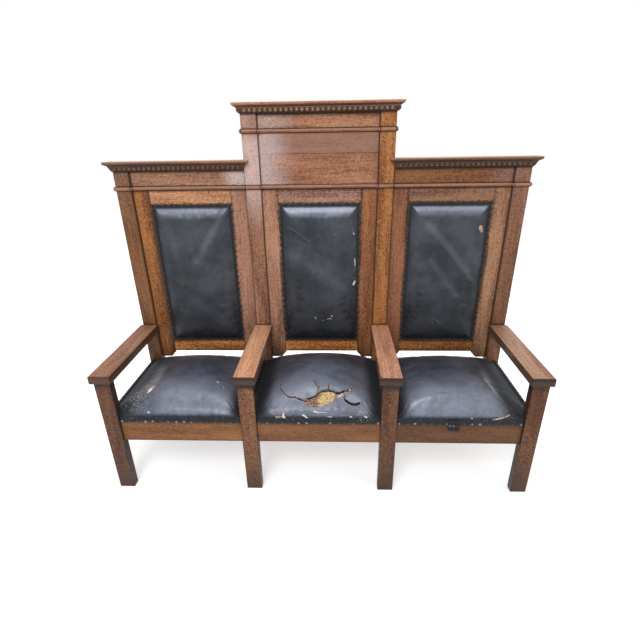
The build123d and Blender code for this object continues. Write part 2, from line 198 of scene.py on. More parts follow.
world = bpy.data.worlds.new("studio")
bpy.context.scene.world = world
world.use_nodes = True
sky = world.node_tree
backdrop = sky.nodes["Background"]
backdrop.inputs["Color"].default_value = (1, 1, 1, 1)
rays, either, strength = [sky.nodes.new("ShaderNode" + kind) for kind in ("LightPath", "Math", "MapRange")]
strength.inputs["To Min"].default_value = 0.55
strength.inputs["To Max"].default_value = 1.0
sky.links.new(rays.outputs["Is Camera Ray"], either.inputs[0])
sky.links.new(rays.outputs["Is Glossy Ray"], either.inputs[1])
sky.links.new(either.outputs[0], strength.inputs["Value"])
sky.links.new(strength.outputs["Result"], backdrop.inputs["Strength"])


def lamp(name, place, target, size, power, colour):
    """A soft square lamp that looks at a point."""
    light = bpy.data.lights.new(name, "AREA")
    light.size, light.energy, light.color = size, power, colour
    made = bpy.data.objects.new(name, light)
    made.location = place
    made.rotation_euler = (Vector(target) - Vector(place)).to_track_quat("-Z", "Y").to_euler()
    bpy.context.scene.collection.objects.link(made)


lamp("daylight", (-0.9, -3.0, 3.7), (0, 0, 0.7), 1.5, 84, (0.93, 0.96, 1.0))
lamp("skylight", (0.1, 0.45, 3.5), (0.0, 0.1, 0.9), 1.3, 78, (0.90, 0.95, 1.0))
lamp("fill", (3.2, -2.0, 2.4), (0, 0, 0.7), 2.2, 18, (1.0, 0.97, 0.93))


# Front legs: square oak posts with the rays of quarter-sawn wood across their faces. A painted shadow
# darkens them below the arms, painted shade darkens their sides, mopping has darkened the feet, and the edges
# are rubbed
# Near black, for stains and for painted shade in crevices and under parts
black_stain_and_shade = (0.016, 0.010, 0.008)


class Stick:
    """The wood of one stick while stains, wear, painted shade and painted glare are laid over its grain."""

    def __init__(self, finish, wood, place, mottle, patch):
        self.finish, self.wood, self.place, self.mottle, self.patch = finish, wood, place, mottle, patch

    def lay_colour(self, share, colour=black_stain_and_shade):
        """Covers a share of the wood with a colour."""
        self.wood = self.finish.mix(share, self.wood, colour)

    def ragged(self, value, stray):
        """A coordinate that strays with the grain, so that no stain or painted shade ends on a ruled line."""
        return value + (self.mottle - 0.5) * stray

    def cloudy(self, value, stray):
        """A coordinate that strays in wide patches."""
        return value + (self.patch - 0.5) * stray

    def between(self, value, low, high):
        return self.finish.between(value, low, high)


def near_edge(finish, low, high):
    """How far a point on a box is from the nearest edge of that box, in metres."""
    gaps = [(top - bottom) / 2 - abs(value - (bottom + top) / 2)
            for value, bottom, top in zip(finish.place(), low, high)]
    lesser, greater = gaps[0].least(gaps[1]), gaps[0].most(gaps[1])
    return lesser.most(greater.least(gaps[2]))


def oak(name, grain, colour, box=None, seed=0.0, rays=0.5, varnish=0.12, soiled=None, edge=0.6, figure=1.0):
    """Stained, varnished oak on one stick, whose grain runs along one axis."""
    finish = Finish(name, Coat_Roughness=0.22, Coat_IOR=1.4, Specular_IOR_Level=0.2)
    place = finish.place()
    along = place["xyz".index(grain)] + seed
    side, deep = [place[i] + seed for i in range(3) if i != "xyz".index(grain)]
    broad = finish.noise(along * 1.8, side * 16, deep * 16, detail=3, distortion=0.4)
    lines = finish.noise(along * 9, side * 190, deep * 190, detail=3, roughness=0.6)
    mottle = finish.noise(along * 80, side * 150, deep * 150, detail=3, roughness=0.7)
    pores = finish.between(finish.noise(along * 120, side * 900, deep * 900, detail=1), 0.57, 0.68)
    patch = finish.noise(along * 4, side * 9, deep * 9, detail=1)
    ray = finish.noise(along * 150 + side * 70, side * 42 - along * 12, deep * 60, detail=2, distortion=0.6)
    flecks = finish.between(ray, 0.52, 0.63) * finish.between(patch, 0.34, 0.58) * rays
    tone = (broad - 0.5) * 1.1 * figure + (lines - 0.5) * 0.95 + (mottle - 0.5) * 1.4 * figure
    tone = tone + 0.475 + flecks * 0.32 - finish.between(ray, 0.47, 0.36) * rays * 0.22 - pores * 0.16
    # Old varnish yellows the stain, and most in the dark lines of the grain
    colour = (colour[0], colour[1] * 0.90, colour[2] * 0.74)
    dark = (colour[0] * 0.48, colour[1] * 0.40, colour[2] * 0.42)
    pale = (min(colour[0] * 1.50, 1), colour[1] * 1.62, colour[2] * 1.60)
    wood = finish.node("ValToRGB", {"stops": [(0.10, dark), (0.47, colour), (0.88, pale)]}, {0: tone})
    if box:
        rubbed = finish.between(near_edge(finish, *box) + (patch - 0.5) * 0.006, 0.0055, 0.0) * edge
        wood = finish.mix(rubbed, wood, tuple(c * 0.38 for c in colour))
    if soiled:
        stick = Stick(finish, wood, place, mottle, patch)
        soiled(stick)
        wood = stick.wood
    relief = lines * 0.4 + pores * -0.6 + flecks * 0.2 + mottle * 0.3
    return finish.give(Base_Color=wood, Roughness=0.50 - flecks * 0.12 + (mottle - 0.5) * 0.4,
                       Normal=finish.bump(relief, 0.28, 0.0006),
                       Coat_Weight=finish.between(patch, 0.25, 0.75) * varnish + varnish * 0.5)


def dress(node, grain, colour, **looks):
    """Gives a solid of the bench its own oak."""
    mesh = frame["nodes"][node].data
    mesh.materials.clear()
    mesh.materials.append(oak(node, grain, colour, **looks))


def shaded_sides(stick, box, inset):
    """1 on the two faces of a stick that look along the bench, which are darkened as painted shade."""
    low, high = box[0][0], box[1][0]
    half = (high - low) / 2
    return stick.between(abs(stick.place[0] - (low + high) / 2), half - inset, half - inset / 3)


def leg_stain_and_shade(under_arm_shadow, box):
    def soiled(stick):
        height = stick.place[2]
        # Painted shade: the side faces are made near black
        stick.lay_colour(shaded_sides(stick, box, 0.0014) * 0.82, (0.022, 0.013, 0.010))
        stick.lay_colour(stick.between(stick.ragged(height, 0.1), 0.30, 0.0) * 0.75, (0.060, 0.032, 0.024))
        # Painted shadow: a dark band on the leg just below the overhanging arm
        stick.lay_colour(stick.between(stick.ragged(height, 0.03), 0.580, 0.606) * under_arm_shadow)
    return soiled


leg_looks = {"left_end": ((0.119, 0.053, 0.028), 0.6), "left_inner": ((0.185, 0.085, 0.048), 0.96),
             "right_inner": ((0.120, 0.052, 0.026), 0.96), "right_end": ((0.122, 0.050, 0.021), 0.6)}
for number, (end, (colour, under_arm_shadow)) in enumerate(leg_looks.items()):
    node = f"front_leg_{end}"
    dress(node, "z", colour, box=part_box(node), seed=1.7 * number, rays=1.8, figure=1.5,
          soiled=leg_stain_and_shade(under_arm_shadow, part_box(node)))


# Back posts: tall square oak sticks with collars round them. Dark wax and painted shade sit in the crevices
# beside the beads, under the cap, at the arms and beside the back, and a purple-grey painted glare lies on the
# second one
post_face, post_back = 0.2655, 0.3105
lower_bead, upper_bead, arm_top = 1.410, 1.666, 0.660


def seam(stick, value, level, width):
    """1 on a line across the wood, fading out over a width on both sides of it."""
    return stick.between(abs(value - level), width, width * 0.3)


def before(stick, rear):
    """1 on the front and sides of a piece of the back, 0 on its rear face."""
    return stick.between(stick.place[1], rear - 0.0005, rear - 0.0025)


def post_stain_shade_and_glare(top, glare):
    def soiled(stick):
        height = stick.place[2]
        # Painted glare: a pale purple-grey patch on the upper part of the post
        glare_patch = stick.between(height, 1.15, 1.50) * (1 - stick.between(height, 1.60, 1.68) * 0.75)
        stick.lay_colour(glare_patch * glare * (1 + (stick.mottle - 0.5) * 1.8), (0.70, 0.53, 0.50))
        # Painted shade with dark wax along the beads, under the cap and where the arm meets the post
        for level, width, share in ((lower_bead, 0.020, 0.75), (upper_bead, 0.020, 0.75),
                                    (top, 0.012, 0.8), (arm_top, 0.010, 0.7)):
            line = seam(stick, stick.ragged(height, 0.012), level, width)
            stick.lay_colour(line * share * before(stick, post_back))
        # Painted shade on the side faces where they meet the back
        beside = stick.between(stick.ragged(stick.place[1], 0.006), 0.269, 0.280)
        stick.lay_colour(beside * 0.55)
    return soiled


post_looks = {"left_end": ((0.205, 0.097, 0.048), 0.05, 0.5, 1.25),
              "left_inner": ((0.280, 0.143, 0.100), 0.60, 0.5, 1.25),
              "right_inner": ((0.295, 0.124, 0.046), 0.0, 1.0, 1.6),
              "right_end": ((0.215, 0.105, 0.068), 0.05, 0.5, 1.25)}
cornice_overlap = 0.028
for number, (end, (colour, glare, rays, figure)) in enumerate(post_looks.items()):
    node = f"back_post_{end}"
    low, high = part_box(node)
    dress(node, "z", colour, box=(low, high), seed=4.1 + 1.3 * number, rays=rays, figure=figure,
          soiled=post_stain_shade_and_glare(high[2] - cornice_overlap, glare))


# Seat rails: wide straight-grained oak boards between the legs, the front ones set back a little.
# Polish has run dark along their lower edges, and a painted shadow darkens them just below the hide
def rail_stain_and_shade(stick):
    level = stick.ragged(stick.place[2], 0.02)
    stick.lay_colour(stick.between(level, 0.305, 0.288) * 0.35)
    # Painted shadow just below the hide's band and border
    stick.lay_colour(stick.between(level, 0.378, 0.400) * 0.65)


front_rail_colours = {"left": (0.243, 0.111, 0.044), "centre": (0.207, 0.093, 0.043),
                      "right": (0.131, 0.060, 0.027)}
for number, (bay, colour) in enumerate(front_rail_colours.items()):
    dress(f"front_rail_{bay}", "x", colour, seed=13.5 + number, rays=0.35, soiled=rail_stain_and_shade, figure=0.8)
    dress(f"back_seat_rail_{bay}", "x", (0.19, 0.09, 0.045), seed=15.7 + number, rays=0.3, varnish=0.05)
for number, end in enumerate(leg_looks):
    dress(f"side_rail_{end}", "y", (0.19, 0.088, 0.045), seed=17.1 + number, rays=0.3, soiled=rail_stain_and_shade)


# Corner blocks: rough-sawn triangles of unstained oak. They are glued in the corners of the seat
# frames, below the webbing, to keep the frames square
def block_soil(stick):
    stick.lay_colour(stick.between(stick.mottle, 0.45, 0.62) * 0.4, (0.10, 0.06, 0.035))


dress("corner_blocks", "z", (0.40, 0.25, 0.13), seed=2.2, rays=0.1, varnish=0.0, soiled=block_soil)


# Arms: flat oak boards, tenoned on the front legs and butted on the back posts. Painted shade darkens
# their sides, their faces below the top and their ends by the posts; their edges and front ends are dark
def arm_stain_and_shade(front, box):
    def soiled(stick):
        along, up = stick.place[1:]
        # Painted shade: the side faces are made near black
        stick.lay_colour(shaded_sides(stick, box, 0.0018) * 0.82, (0.030, 0.016, 0.011))
        stick.lay_colour(stick.between(stick.ragged(along, 0.008), -0.301, -0.3095) * front)
        # Painted shade: the faces below the top of the arm are darkened
        stick.lay_colour(stick.between(up, 0.651, 0.640) * 0.45, (0.10, 0.055, 0.036))
        # Painted shade where the arm meets the post
        stick.lay_colour(stick.between(stick.cloudy(along, 0.03), 0.240, 0.266) * 0.4)
    return soiled


arm_looks = {"left_end": ((0.238, 0.118, 0.072), 0.62), "left_inner": ((0.396, 0.214, 0.141), 0.96),
             "right_inner": ((0.395, 0.212, 0.152), 0.96), "right_end": ((0.280, 0.164, 0.120), 0.96)}
for number, (end, (colour, front)) in enumerate(arm_looks.items()):
    node = f"arm_{end}"
    low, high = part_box(node)
    dress(node, "y", colour, box=(low, (high[0], post_face, high[2])), seed=9.2 + 1.1 * number, rays=0.45,
          soiled=arm_stain_and_shade(front, (low, high)), edge=0.75, figure=1.15)


# Frames of the back: stiles and rails of oak round each pad. Dark stain has spread from the nails
# along the pads' edges, and wax and painted shade fill the joints with the posts and the crevices under the
# beads
pitch = 0.659
bays = {"left": -pitch, "centre": 0.0, "right": pitch}
opening, pad_half, pad_bottom, pad_top = 0.292, 0.208, 0.556, 1.329
frame_back, pad_board_back = 0.3035, 0.2985


def stile_stain_and_shade(middle, spread):
    def soiled(stick):
        away, height = abs(stick.place[0] - middle), stick.place[2]
        shown = before(stick, frame_back)
        from_pad = stick.ragged(stick.cloudy(away, 0.03), 0.02)
        stick.lay_colour(stick.between(from_pad, pad_half + spread, pad_half - 0.003) * shown * 0.85)
        # Wax and painted shade in the joint with the post
        stick.lay_colour(stick.between(stick.ragged(away, 0.006), opening - 0.007, opening - 0.002) * 0.8)
        # Painted shade in the crevice under the bead
        stick.lay_colour(stick.between(stick.ragged(height, 0.01), 1.385, 1.399) * shown * 0.85)
        stick.lay_colour(stick.between(stick.cloudy(height, 0.05), 0.56, 0.45) * 0.45)
    return soiled


stile_looks = {"left_outer": ("left", (0.315, 0.132, 0.047), 0.044, 1.8),
               "left_inner": ("left", (0.305, 0.160, 0.122), 0.016, 1.3),
               "centre_left": ("centre", (0.335, 0.178, 0.130), 0.016, 1.3),
               "centre_right": ("centre", (0.260, 0.110, 0.053), 0.014, 1.3),
               "right_inner": ("right", (0.220, 0.094, 0.054), 0.016, 1.3),
               "right_outer": ("right", (0.31, 0.168, 0.110), 0.020, 1.3)}
for number, (which, (bay, colour, spread, figure)) in enumerate(stile_looks.items()):
    dress(f"back_stile_{which}", "z", colour, seed=21.3 + number, rays=0.5, figure=figure,
          soiled=stile_stain_and_shade(bays[bay], spread))


def top_rail_stain_and_shade(stick):
    height, shown = stick.place[2], before(stick, frame_back)
    # Painted shade in the crevice under the bead
    stick.lay_colour(stick.between(height, 1.386, 1.399) * shown * 0.85)
    stick.lay_colour(stick.between(stick.ragged(height, 0.02), pad_top + 0.010, pad_top - 0.001) * shown * 0.85)


def bottom_rail_soil(stick):
    level, shown = stick.ragged(stick.place[2], 0.03), before(stick, frame_back)
    stick.lay_colour(stick.between(level, 0.502, 0.487) * 0.7)
    stick.lay_colour(stick.between(level, pad_bottom - 0.014, pad_bottom + 0.001) * shown * 0.85)


def pad_board_soil(middle):
    def soiled(stick):
        out = abs(stick.place[0] - middle) - pad_half
        up = abs(stick.place[2] - (pad_bottom + pad_top) / 2) - (pad_top - pad_bottom) / 2
        stick.lay_colour(stick.between(out.most(up), -0.030, -0.012) * before(stick, pad_board_back) * 0.55)
    return soiled


back_rail_colours = {"left": ((0.41, 0.208, 0.122), (0.51, 0.228, 0.076)),
                     "centre": ((0.286, 0.161, 0.138), (0.60, 0.268, 0.086)),
                     "right": ((0.207, 0.107, 0.074), (0.36, 0.156, 0.054))}
for number, (bay, (top, bottom)) in enumerate(back_rail_colours.items()):
    dress(f"back_top_rail_{bay}", "x", top, seed=31.3 + number, rays=0.6, figure=1.4, soiled=top_rail_stain_and_shade)
    dress(f"back_bottom_rail_{bay}", "x", bottom, seed=34.3 + number, rays=1.0, figure=1.9,
          soiled=bottom_rail_soil)
    dress(f"pad_board_{bay}", "x", (0.235, 0.125, 0.070), seed=37.3 + number, rays=0.2,
          soiled=pad_board_soil(bays[bay]))


# Wide boards that close the back above the middle pad and below each cornice. They lie in grooves
# in the posts, where dark wax and painted shade gather, and a painted glare lies on them in places
def board_stain_shade_and_glare(middle, levels, glare_at, glare):
    def soiled(stick):
        along, height, shown = stick.place[0], stick.place[2], before(stick, frame_back)
        # Painted glare: pale patches on the varnish
        glare_patch = stick.between(stick.cloudy(along, 0.12), *glare_at) * (1 + (stick.mottle - 0.5) * 1.8)
        stick.lay_colour(glare_patch * glare * shown, (0.68, 0.56, 0.55))
        # Wax and painted shade in the grooves of the posts
        by_post = stick.between(stick.ragged(abs(along - middle), 0.007), opening - 0.008, opening - 0.002)
        stick.lay_colour(by_post * 0.85)
        # Wax and painted shade along the beads and the carved rows
        for level, width in levels:
            stick.lay_colour(seam(stick, stick.ragged(height, 0.010), level, width) * shown * 0.85)
    return soiled


board_joint = 1.5636


def field_stain_shade_and_glare(stick):
    height = stick.place[2]
    stick.lay_colour(stick.between(height, 1.562, 1.564) * 0.55, (0.255, 0.150, 0.115))
    stick.lay_colour(seam(stick, height, board_joint, 0.003) * 0.6)
    board_stain_shade_and_glare(0.0, ((lower_bead, 0.018), (upper_bead, 0.018)), (-0.10, -0.29), 0.50)(stick)


dress("centre_field_boards", "x", (0.355, 0.168, 0.110), seed=44.0, rays=0.4, soiled=field_stain_shade_and_glare, figure=0.9)
side_row_level, centre_row_level = 1.493, 1.742
frieze_looks = {"left": ((0.31, 0.165, 0.115), lower_bead, side_row_level, (-0.50, -0.39), 0.62),
                "centre": ((0.328, 0.160, 0.100), upper_bead, centre_row_level, (-0.10, -0.26), 0.30),
                "right": ((0.190, 0.080, 0.037), lower_bead, side_row_level, (0.80, 0.94), 0.12)}
for number, (bay, (colour, low, high, glare_at, glare)) in enumerate(frieze_looks.items()):
    dress(f"frieze_board_{bay}", "x", colour, seed=38.3 + number, rays=0.5, figure=1.3,
          soiled=board_stain_shade_and_glare(bays[bay], ((low, 0.018), (high, 0.012)), glare_at, glare))


# Beads and collars: half-round mouldings planted on the back and mitred round the posts. Their crowns
# carry a painted highlight, and dark wax with painted shade lies along both edges and in the mitres
inner_post, end_post_inside = 0.367, 0.951


def bead_wax_shade_and_highlight(stick):
    height = stick.place[2]
    for level in (lower_bead, upper_bead):
        # Painted highlight along the upper crown
        crown = seam(stick, stick.ragged(height, 0.004), level + 0.003, 0.006)
        stick.lay_colour(crown * 0.55, (0.42, 0.22, 0.15))
        # Dark wax and painted shade along both edges
        for edge in (-0.0105, 0.0105):
            stick.lay_colour(seam(stick, height, level + edge, 0.004) * 0.9)
    # Dark wax and painted shade in the mitres by the posts
    for mitre in (opening, inner_post, end_post_inside):
        stick.lay_colour(seam(stick, abs(stick.place[0]), mitre, 0.0045) * 0.85)


for node in ("bead_mouldings", "post_collars"):
    dress(node, "x", (0.27, 0.125, 0.078), seed=47.0, rays=0.1, soiled=bead_wax_shade_and_highlight)


# Cornice caps: moulded oak boards on top of the back, their ends mitred round the posts. The front
# lip carries a painted highlight, and painted shade darkens the hollow under it
def cap_highlight_and_shade(top):
    def soiled(stick):
        level = stick.ragged(stick.place[2], 0.003)
        # Painted highlight on the front lip
        stick.lay_colour(stick.between(level, top - 0.008, top - 0.004) * 0.45, (0.43, 0.245, 0.165))
        # Painted shade in the hollow under the lip
        stick.lay_colour(stick.between(level, top - 0.008, top - 0.0155) * 0.75, (0.048, 0.026, 0.020))
    return soiled


cap_colours = {"left": (0.23, 0.115, 0.075), "centre": (0.43, 0.215, 0.136), "right": (0.155, 0.078, 0.050)}
for number, (bay, colour) in enumerate(cap_colours.items()):
    node = f"cornice_cap_{bay}"
    dress(node, "x", colour, seed=41.3 + number, rays=0.2, soiled=cap_highlight_and_shade(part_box(node)[1][2]))


# Carved rows: a sloping oak moulding under each cap, cut into a row of small eggs, with painted shade
# in the hollows between them. It is mitred round the corners of the posts and glued up against the cap
def moulding(profile, stations):
    """Points and faces of a closed moulding, from its profile and from where it starts, turns and ends."""
    around = len(profile)
    points = [(x + along * p, y - out * p, z) for x, y, along, out in stations for p, z in profile]
    faces = [(k * around + i, k * around + (i + 1) % around,
              (k + 1) * around + (i + 1) % around, (k + 1) * around + i)
             for k in range(len(stations) - 1) for i in range(around)]
    last = (len(stations) - 1) * around
    return points, faces + [tuple(range(around))[::-1], tuple(range(last, last + around))]


def turned_right(piece):
    """Merges a piece's doubled points and makes its faces look outwards."""
    work = bmesh.new()
    work.from_mesh(piece.data)
    bmesh.ops.remove_doubles(work, verts=work.verts, dist=1e-6)
    bmesh.ops.recalc_face_normals(work, faces=work.faces)
    work.to_mesh(piece.data)
    work.free()
    return piece


def as_modified(piece):
    """The mesh of an object as its modifiers leave it."""
    return bpy.data.meshes.new_from_object(piece.evaluated_get(bpy.context.evaluated_depsgraph_get()))


def studs(name, places, facings, measures, variation, material, rings=5, seed=1, lengthways=None):
    """Small bosses, one on each place, each turned to face outwards from it, and upright or lengthways."""
    points = make_mesh(name, places, [])
    for label, ways in (("facing", facings), ("lengthways", lengthways or [(0, 0, 1)] * len(places))):
        kept = points.data.attributes.new(label, "FLOAT_VECTOR", "POINT")
        kept.data.foreach_set("vector", np.array(ways, dtype=float).ravel())
    tree = bpy.data.node_groups.new(name, "GeometryNodeTree")
    sizes = dict(zip(("Width", "Height", "Depth", "Variation"), (*measures, variation)))
    sockets = {"Geometry": tree.interface.new_socket("Geometry", in_out="INPUT",
                                                     socket_type="NodeSocketGeometry")}
    for label in sizes:
        sockets[label] = tree.interface.new_socket(label, in_out="INPUT", socket_type="NodeSocketFloat")
    tree.interface.new_socket("Geometry", in_out="OUTPUT", socket_type="NodeSocketGeometry")

    def add(kind, settings=None, inputs=None):
        node = tree.nodes.new(kind)
        for label, value in (settings or {}).items():
            setattr(node, label, value)
        for label, value in (inputs or {}).items():
            if isinstance(value, bpy.types.NodeSocket):
                tree.links.new(value, node.inputs[label])
            else:
                node.inputs[label].default_value = value
        return node

    given = add("NodeGroupInput").outputs
    boss = add("GeometryNodeMeshUVSphere", inputs={"Segments": 8, "Rings": rings, "Radius": 0.5})
    measure = add("ShaderNodeCombineXYZ",
                  inputs={"X": given["Width"], "Y": given["Height"], "Z": given["Depth"]})
    shaped = add("GeometryNodeTransform",
                 inputs={"Geometry": boss.outputs["Mesh"], "Scale": measure.outputs[0]})
    smooth = add("GeometryNodeSetShadeSmooth", inputs={"Geometry": shaped.outputs[0]})
    facing, along = [add("GeometryNodeInputNamedAttribute", {"data_type": "FLOAT_VECTOR"}, {"Name": label})
                     for label in ("facing", "lengthways")]
    outwards = add("FunctionNodeAlignRotationToVector", {"axis": "Z"},
                   {"Vector": facing.outputs["Attribute"]})
    upright = add("FunctionNodeAlignRotationToVector", {"axis": "Y", "pivot_axis": "Z"},
                  {"Rotation": outwards.outputs[0], "Vector": along.outputs["Attribute"]})
    least, most = [add("ShaderNodeMath", {"operation": operation}, {0: 1.0, 1: given["Variation"]})
                   for operation in ("SUBTRACT", "ADD")]
    size = add("FunctionNodeRandomValue", inputs={"Seed": seed, 2: least.outputs[0], 3: most.outputs[0]})
    placed = add("GeometryNodeInstanceOnPoints",
                 inputs={"Points": given["Geometry"], "Instance": smooth.outputs[0],
                         "Rotation": upright.outputs[0], "Scale": size.outputs[1]})
    real = add("GeometryNodeRealizeInstances", inputs={"Geometry": placed.outputs[0]})
    finished = add("GeometryNodeSetMaterial", inputs={"Geometry": real.outputs[0], "Material": material})
    tree.links.new(finished.outputs[0], add("NodeGroupOutput").inputs[0])
    modifier = points.modifiers.new(name, "NODES")
    modifier.node_group = tree
    for label, value in sizes.items():
        modifier[sockets[label].identifier] = value
    made = as_modified(points)
    points.modifiers.clear()
    points.data = made
    return points


def joined(piece, *others):
    """Adds the meshes of other objects to a piece, with their materials."""
    for other in others:
        with bpy.context.temp_override(active_object=piece, selected_editable_objects=[piece, other]):
            bpy.ops.object.join()
    return piece


def row_shade_and_fillet(bottom, rubbed):
    def soiled(stick):
        level = stick.ragged(stick.place[2], 0.002)
        # Painted shade under the row and under the cap, with a pale fillet line between in the eggs' colour
        stick.lay_colour(seam(stick, level, bottom, 0.0045) * 0.9)
        stick.lay_colour(seam(stick, level, bottom + 0.0230, 0.0032) * 0.8, rubbed)
        stick.lay_colour(stick.between(level, bottom + 0.0258, bottom + 0.0276) * 0.75)
    return soiled


end_post, beyond_post, board_front, row_height = 1.026, 0.008, 0.2813, 0.0279
row_profile = [(0.0, 0.0), (0.005, 0.0), (0.005, 0.004), (0.0068, 0.0055), (0.0128, 0.0187), (0.0140, 0.020),
               (0.0150, 0.0235), (0.0168, 0.0262), (0.0190, 0.0277), (0.0190, row_height), (0.0, row_height)]
egg_size, egg_pitch, egg_level, egg_out = (0.0168, 0.0200, 0.0145), 0.0245, 0.0125, 0.0105
egg_slope = (0.91, -0.41)
row_looks = {"left": ((0.130, 0.075, 0.055), -end_post, -inner_post - beyond_post, side_row_level),
             "centre": ((0.235, 0.142, 0.108), -inner_post, inner_post, centre_row_level),
             "right": ((0.130, 0.074, 0.054), inner_post + beyond_post, end_post, side_row_level)}
for number, (bay, (colour, start, end, bottom)) in enumerate(row_looks.items()):
    left_depth = post_face if bay == "right" else post_back
    right_depth = post_face if bay == "left" else post_back
    stations = [(start, left_depth, -1, 0), (start, post_face, -1, 1),
                (end, post_face, 1, 1), (end, right_depth, 1, 0)]
    points, faces = moulding([(p, bottom + z) for p, z in row_profile], stations)
    slope = turned_right(make_mesh(f"carved_row_{bay}", points, faces, smooth=False))
    # Painted shade: the ground behind the eggs is made near black for the shade in the hollows between them
    ground = oak(f"row_ground_in_shade_{bay}", "x", (0.075, 0.036, 0.022), seed=51.0 + number, rays=0.0, varnish=0.05,
                 soiled=row_shade_and_fillet(bottom, colour))
    slope.data.materials.append(ground)
    # A strip behind the slope fills the space between the posts
    corners = [(bays[bay] + way * opening, y, bottom + top * row_height) for top in (0, 1) for way, y in
               ((-1, post_face), (1, post_face), (1, board_front), (-1, board_front))]
    packing = make_mesh("packing", corners, [(3, 2, 1, 0), (4, 5, 6, 7), (0, 1, 5, 4), (2, 3, 7, 6),
                                             (1, 2, 6, 5), (3, 0, 4, 7)], ground, smooth=False)
    count = int((end - start - 0.010) // egg_pitch)
    centre, level = (start + end) / 2, bottom + egg_level
    places = [(centre + (k - (count - 1) / 2) * egg_pitch, post_face - egg_out, level) for k in range(count)]
    facings = [(0.0, -egg_slope[0], egg_slope[1])] * count
    for x, way, depth in ((start, -1, left_depth), (end, 1, right_depth)):
        if depth == post_back:
            places += [(x + way * egg_out, post_face + y, level) for y in (0.010, 0.0345)]
            facings += [(way * egg_slope[0], 0.0, egg_slope[1])] * 2
    carved = oak(f"row_eggs_{bay}", "x", colour, seed=54.0 + number, rays=0.0, varnish=0.6, figure=1.5)
    eggs = studs(f"eggs_{bay}", places, facings, egg_size, 0.08, carved, rings=6, seed=7 + number)
    slope = joined(slope, packing, eggs)
    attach(slope, "root")
    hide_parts("carved_mouldings")


# Seat webbing: flat jute straps, five from front to back and four across in each seat. They are
# nailed to the tops of the rails and woven over and under
def grid(us, ws, place):
    """Points on a grid of two lists of coordinates, from a function of both."""
    u, w = np.meshgrid(us, ws)
    return np.stack(place(u, w), -1)


def make_sheet(name, outer, inner, kept=None, marks=None, material=None, smooth=True):
    """A closed sheet between two grids of points, over the squares that are kept, with marks on points."""
    down, across = outer.shape[:2]
    number = np.arange(down * across).reshape(down, across)
    squares = np.stack([number[:-1, :-1], number[:-1, 1:], number[1:, 1:], number[1:, :-1]], -1)
    squares = squares[kept] if kept is not None else squares.reshape(-1, 4)
    edges = np.stack([squares, np.roll(squares, -1, 1)], -1).reshape(-1, 2)
    total = down * across
    forward, backward = edges[:, 0] * total + edges[:, 1], edges[:, 1] * total + edges[:, 0]
    rim = edges[~np.isin(forward, backward)]
    walls = np.stack([rim[:, 1], rim[:, 0], rim[:, 0] + total, rim[:, 1] + total], -1)
    faces = np.concatenate([squares, squares[:, ::-1] + total, walls])
    used, faces = np.unique(faces, return_inverse=True)
    points = np.concatenate([outer.reshape(-1, 3), inner.reshape(-1, 3)])[used]
    made = make_mesh(name, points, faces.reshape(-1, 4), material, smooth)
    for mark, values in (marks or {}).items():
        kept_mark = made.data.attributes.new(mark, "FLOAT", "POINT")
        kept_mark.data.foreach_set("value", np.tile(values.ravel(), 2)[used])
    return made


def jute():
    finish = Finish("jute", Specular_IOR_Level=0.15, Roughness=0.95)
    x, y, z = finish.place()
    threads = [finish.node("Math", {"operation": "SINE"}, {0: value * 2600}) for value in (x, y)]
    weave = threads[0] * threads[1] * 0.5 + 0.5
    dirt = finish.noise(x * 14, y * 14, z * 14, detail=4)
    cloth = finish.mix(weave, (0.20, 0.135, 0.075), (0.42, 0.31, 0.19))
    cloth = finish.mix(finish.between(dirt, 0.42, 0.66) * 0.6, cloth, (0.10, 0.07, 0.045))
    return finish.give(Base_Color=cloth, Normal=finish.bump(weave, 0.5, 0.0006))


jute_cloth = jute()
rail_level, leg_rear = 0.428, -0.2585
strap_width, strap_thickness, strap_level = 0.050, 0.0012, rail_level + 0.0022
strap_wave, wave_reach = 0.0009, 0.045


def woven(along, crossed, side):
    """The level of a strap along its length, over one and under the next strap that it crosses."""
    return strap_level + side * strap_wave * sum((-1) ** k * np.exp(-((along - place) / wave_reach) ** 2)
                                                 for k, place in enumerate(crossed))


for bay, middle in bays.items():
    low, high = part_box(f"seat_leather_{bay}")
    xs = [middle + (k - 2) * 2 * opening / 5 for k in range(5)]
    ys = [leg_rear + (k + 0.5) * (post_face - leg_rear) / 4 for k in range(4)]
    width = np.linspace(-0.5, 0.5, 3) * strap_width
    strips = [grid(x + width, np.linspace(-0.279, 0.272, 56), lambda u, w: (u, w, woven(w, ys, (-1) ** k)))
              for k, x in enumerate(xs)]
    strips += [grid(np.linspace(low[0] + 0.026, high[0] - 0.026, 62), y + width,
                    lambda u, w: (u, w, woven(u, xs, -(-1) ** k))) for k, y in enumerate(ys)]
    straps = joined(*[make_sheet(f"webbing_{bay}", strip, strip - (0, 0, strap_thickness), smooth=False)
                      for strip in strips])
    straps.data.materials.append(jute_cloth)
    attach(straps, "root")
    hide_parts("seat_webbing")


# Seats: each a dome of straw and curled hair under one hide, nailed down along the rails and cut
# round the legs and posts. The middle one is worn through near its front, where the stuffing shows
def arch(away, half, height, shoulder, rise):
    """How high a stuffed form stands across its width: a steep arc at each side and a flatter crown."""
    across = half - shoulder
    crown = (across ** 2 + rise ** 2) / (2 * rise)
    lean, upright = across / crown, (crown - rise) / crown
    side = (shoulder ** 2 + (height - rise) ** 2) / (2 * (upright * (height - rise) - lean * shoulder))
    middle, level = across - side * lean, height - rise - side * upright
    away = np.abs(away)
    over = height - crown + np.sqrt(np.maximum(crown ** 2 - away ** 2, 0))
    down = level + np.sqrt(np.maximum(side ** 2 - (away - middle) ** 2, 0))
    return np.where(away < across, over, np.where(away < half, np.maximum(down, 0), 0))


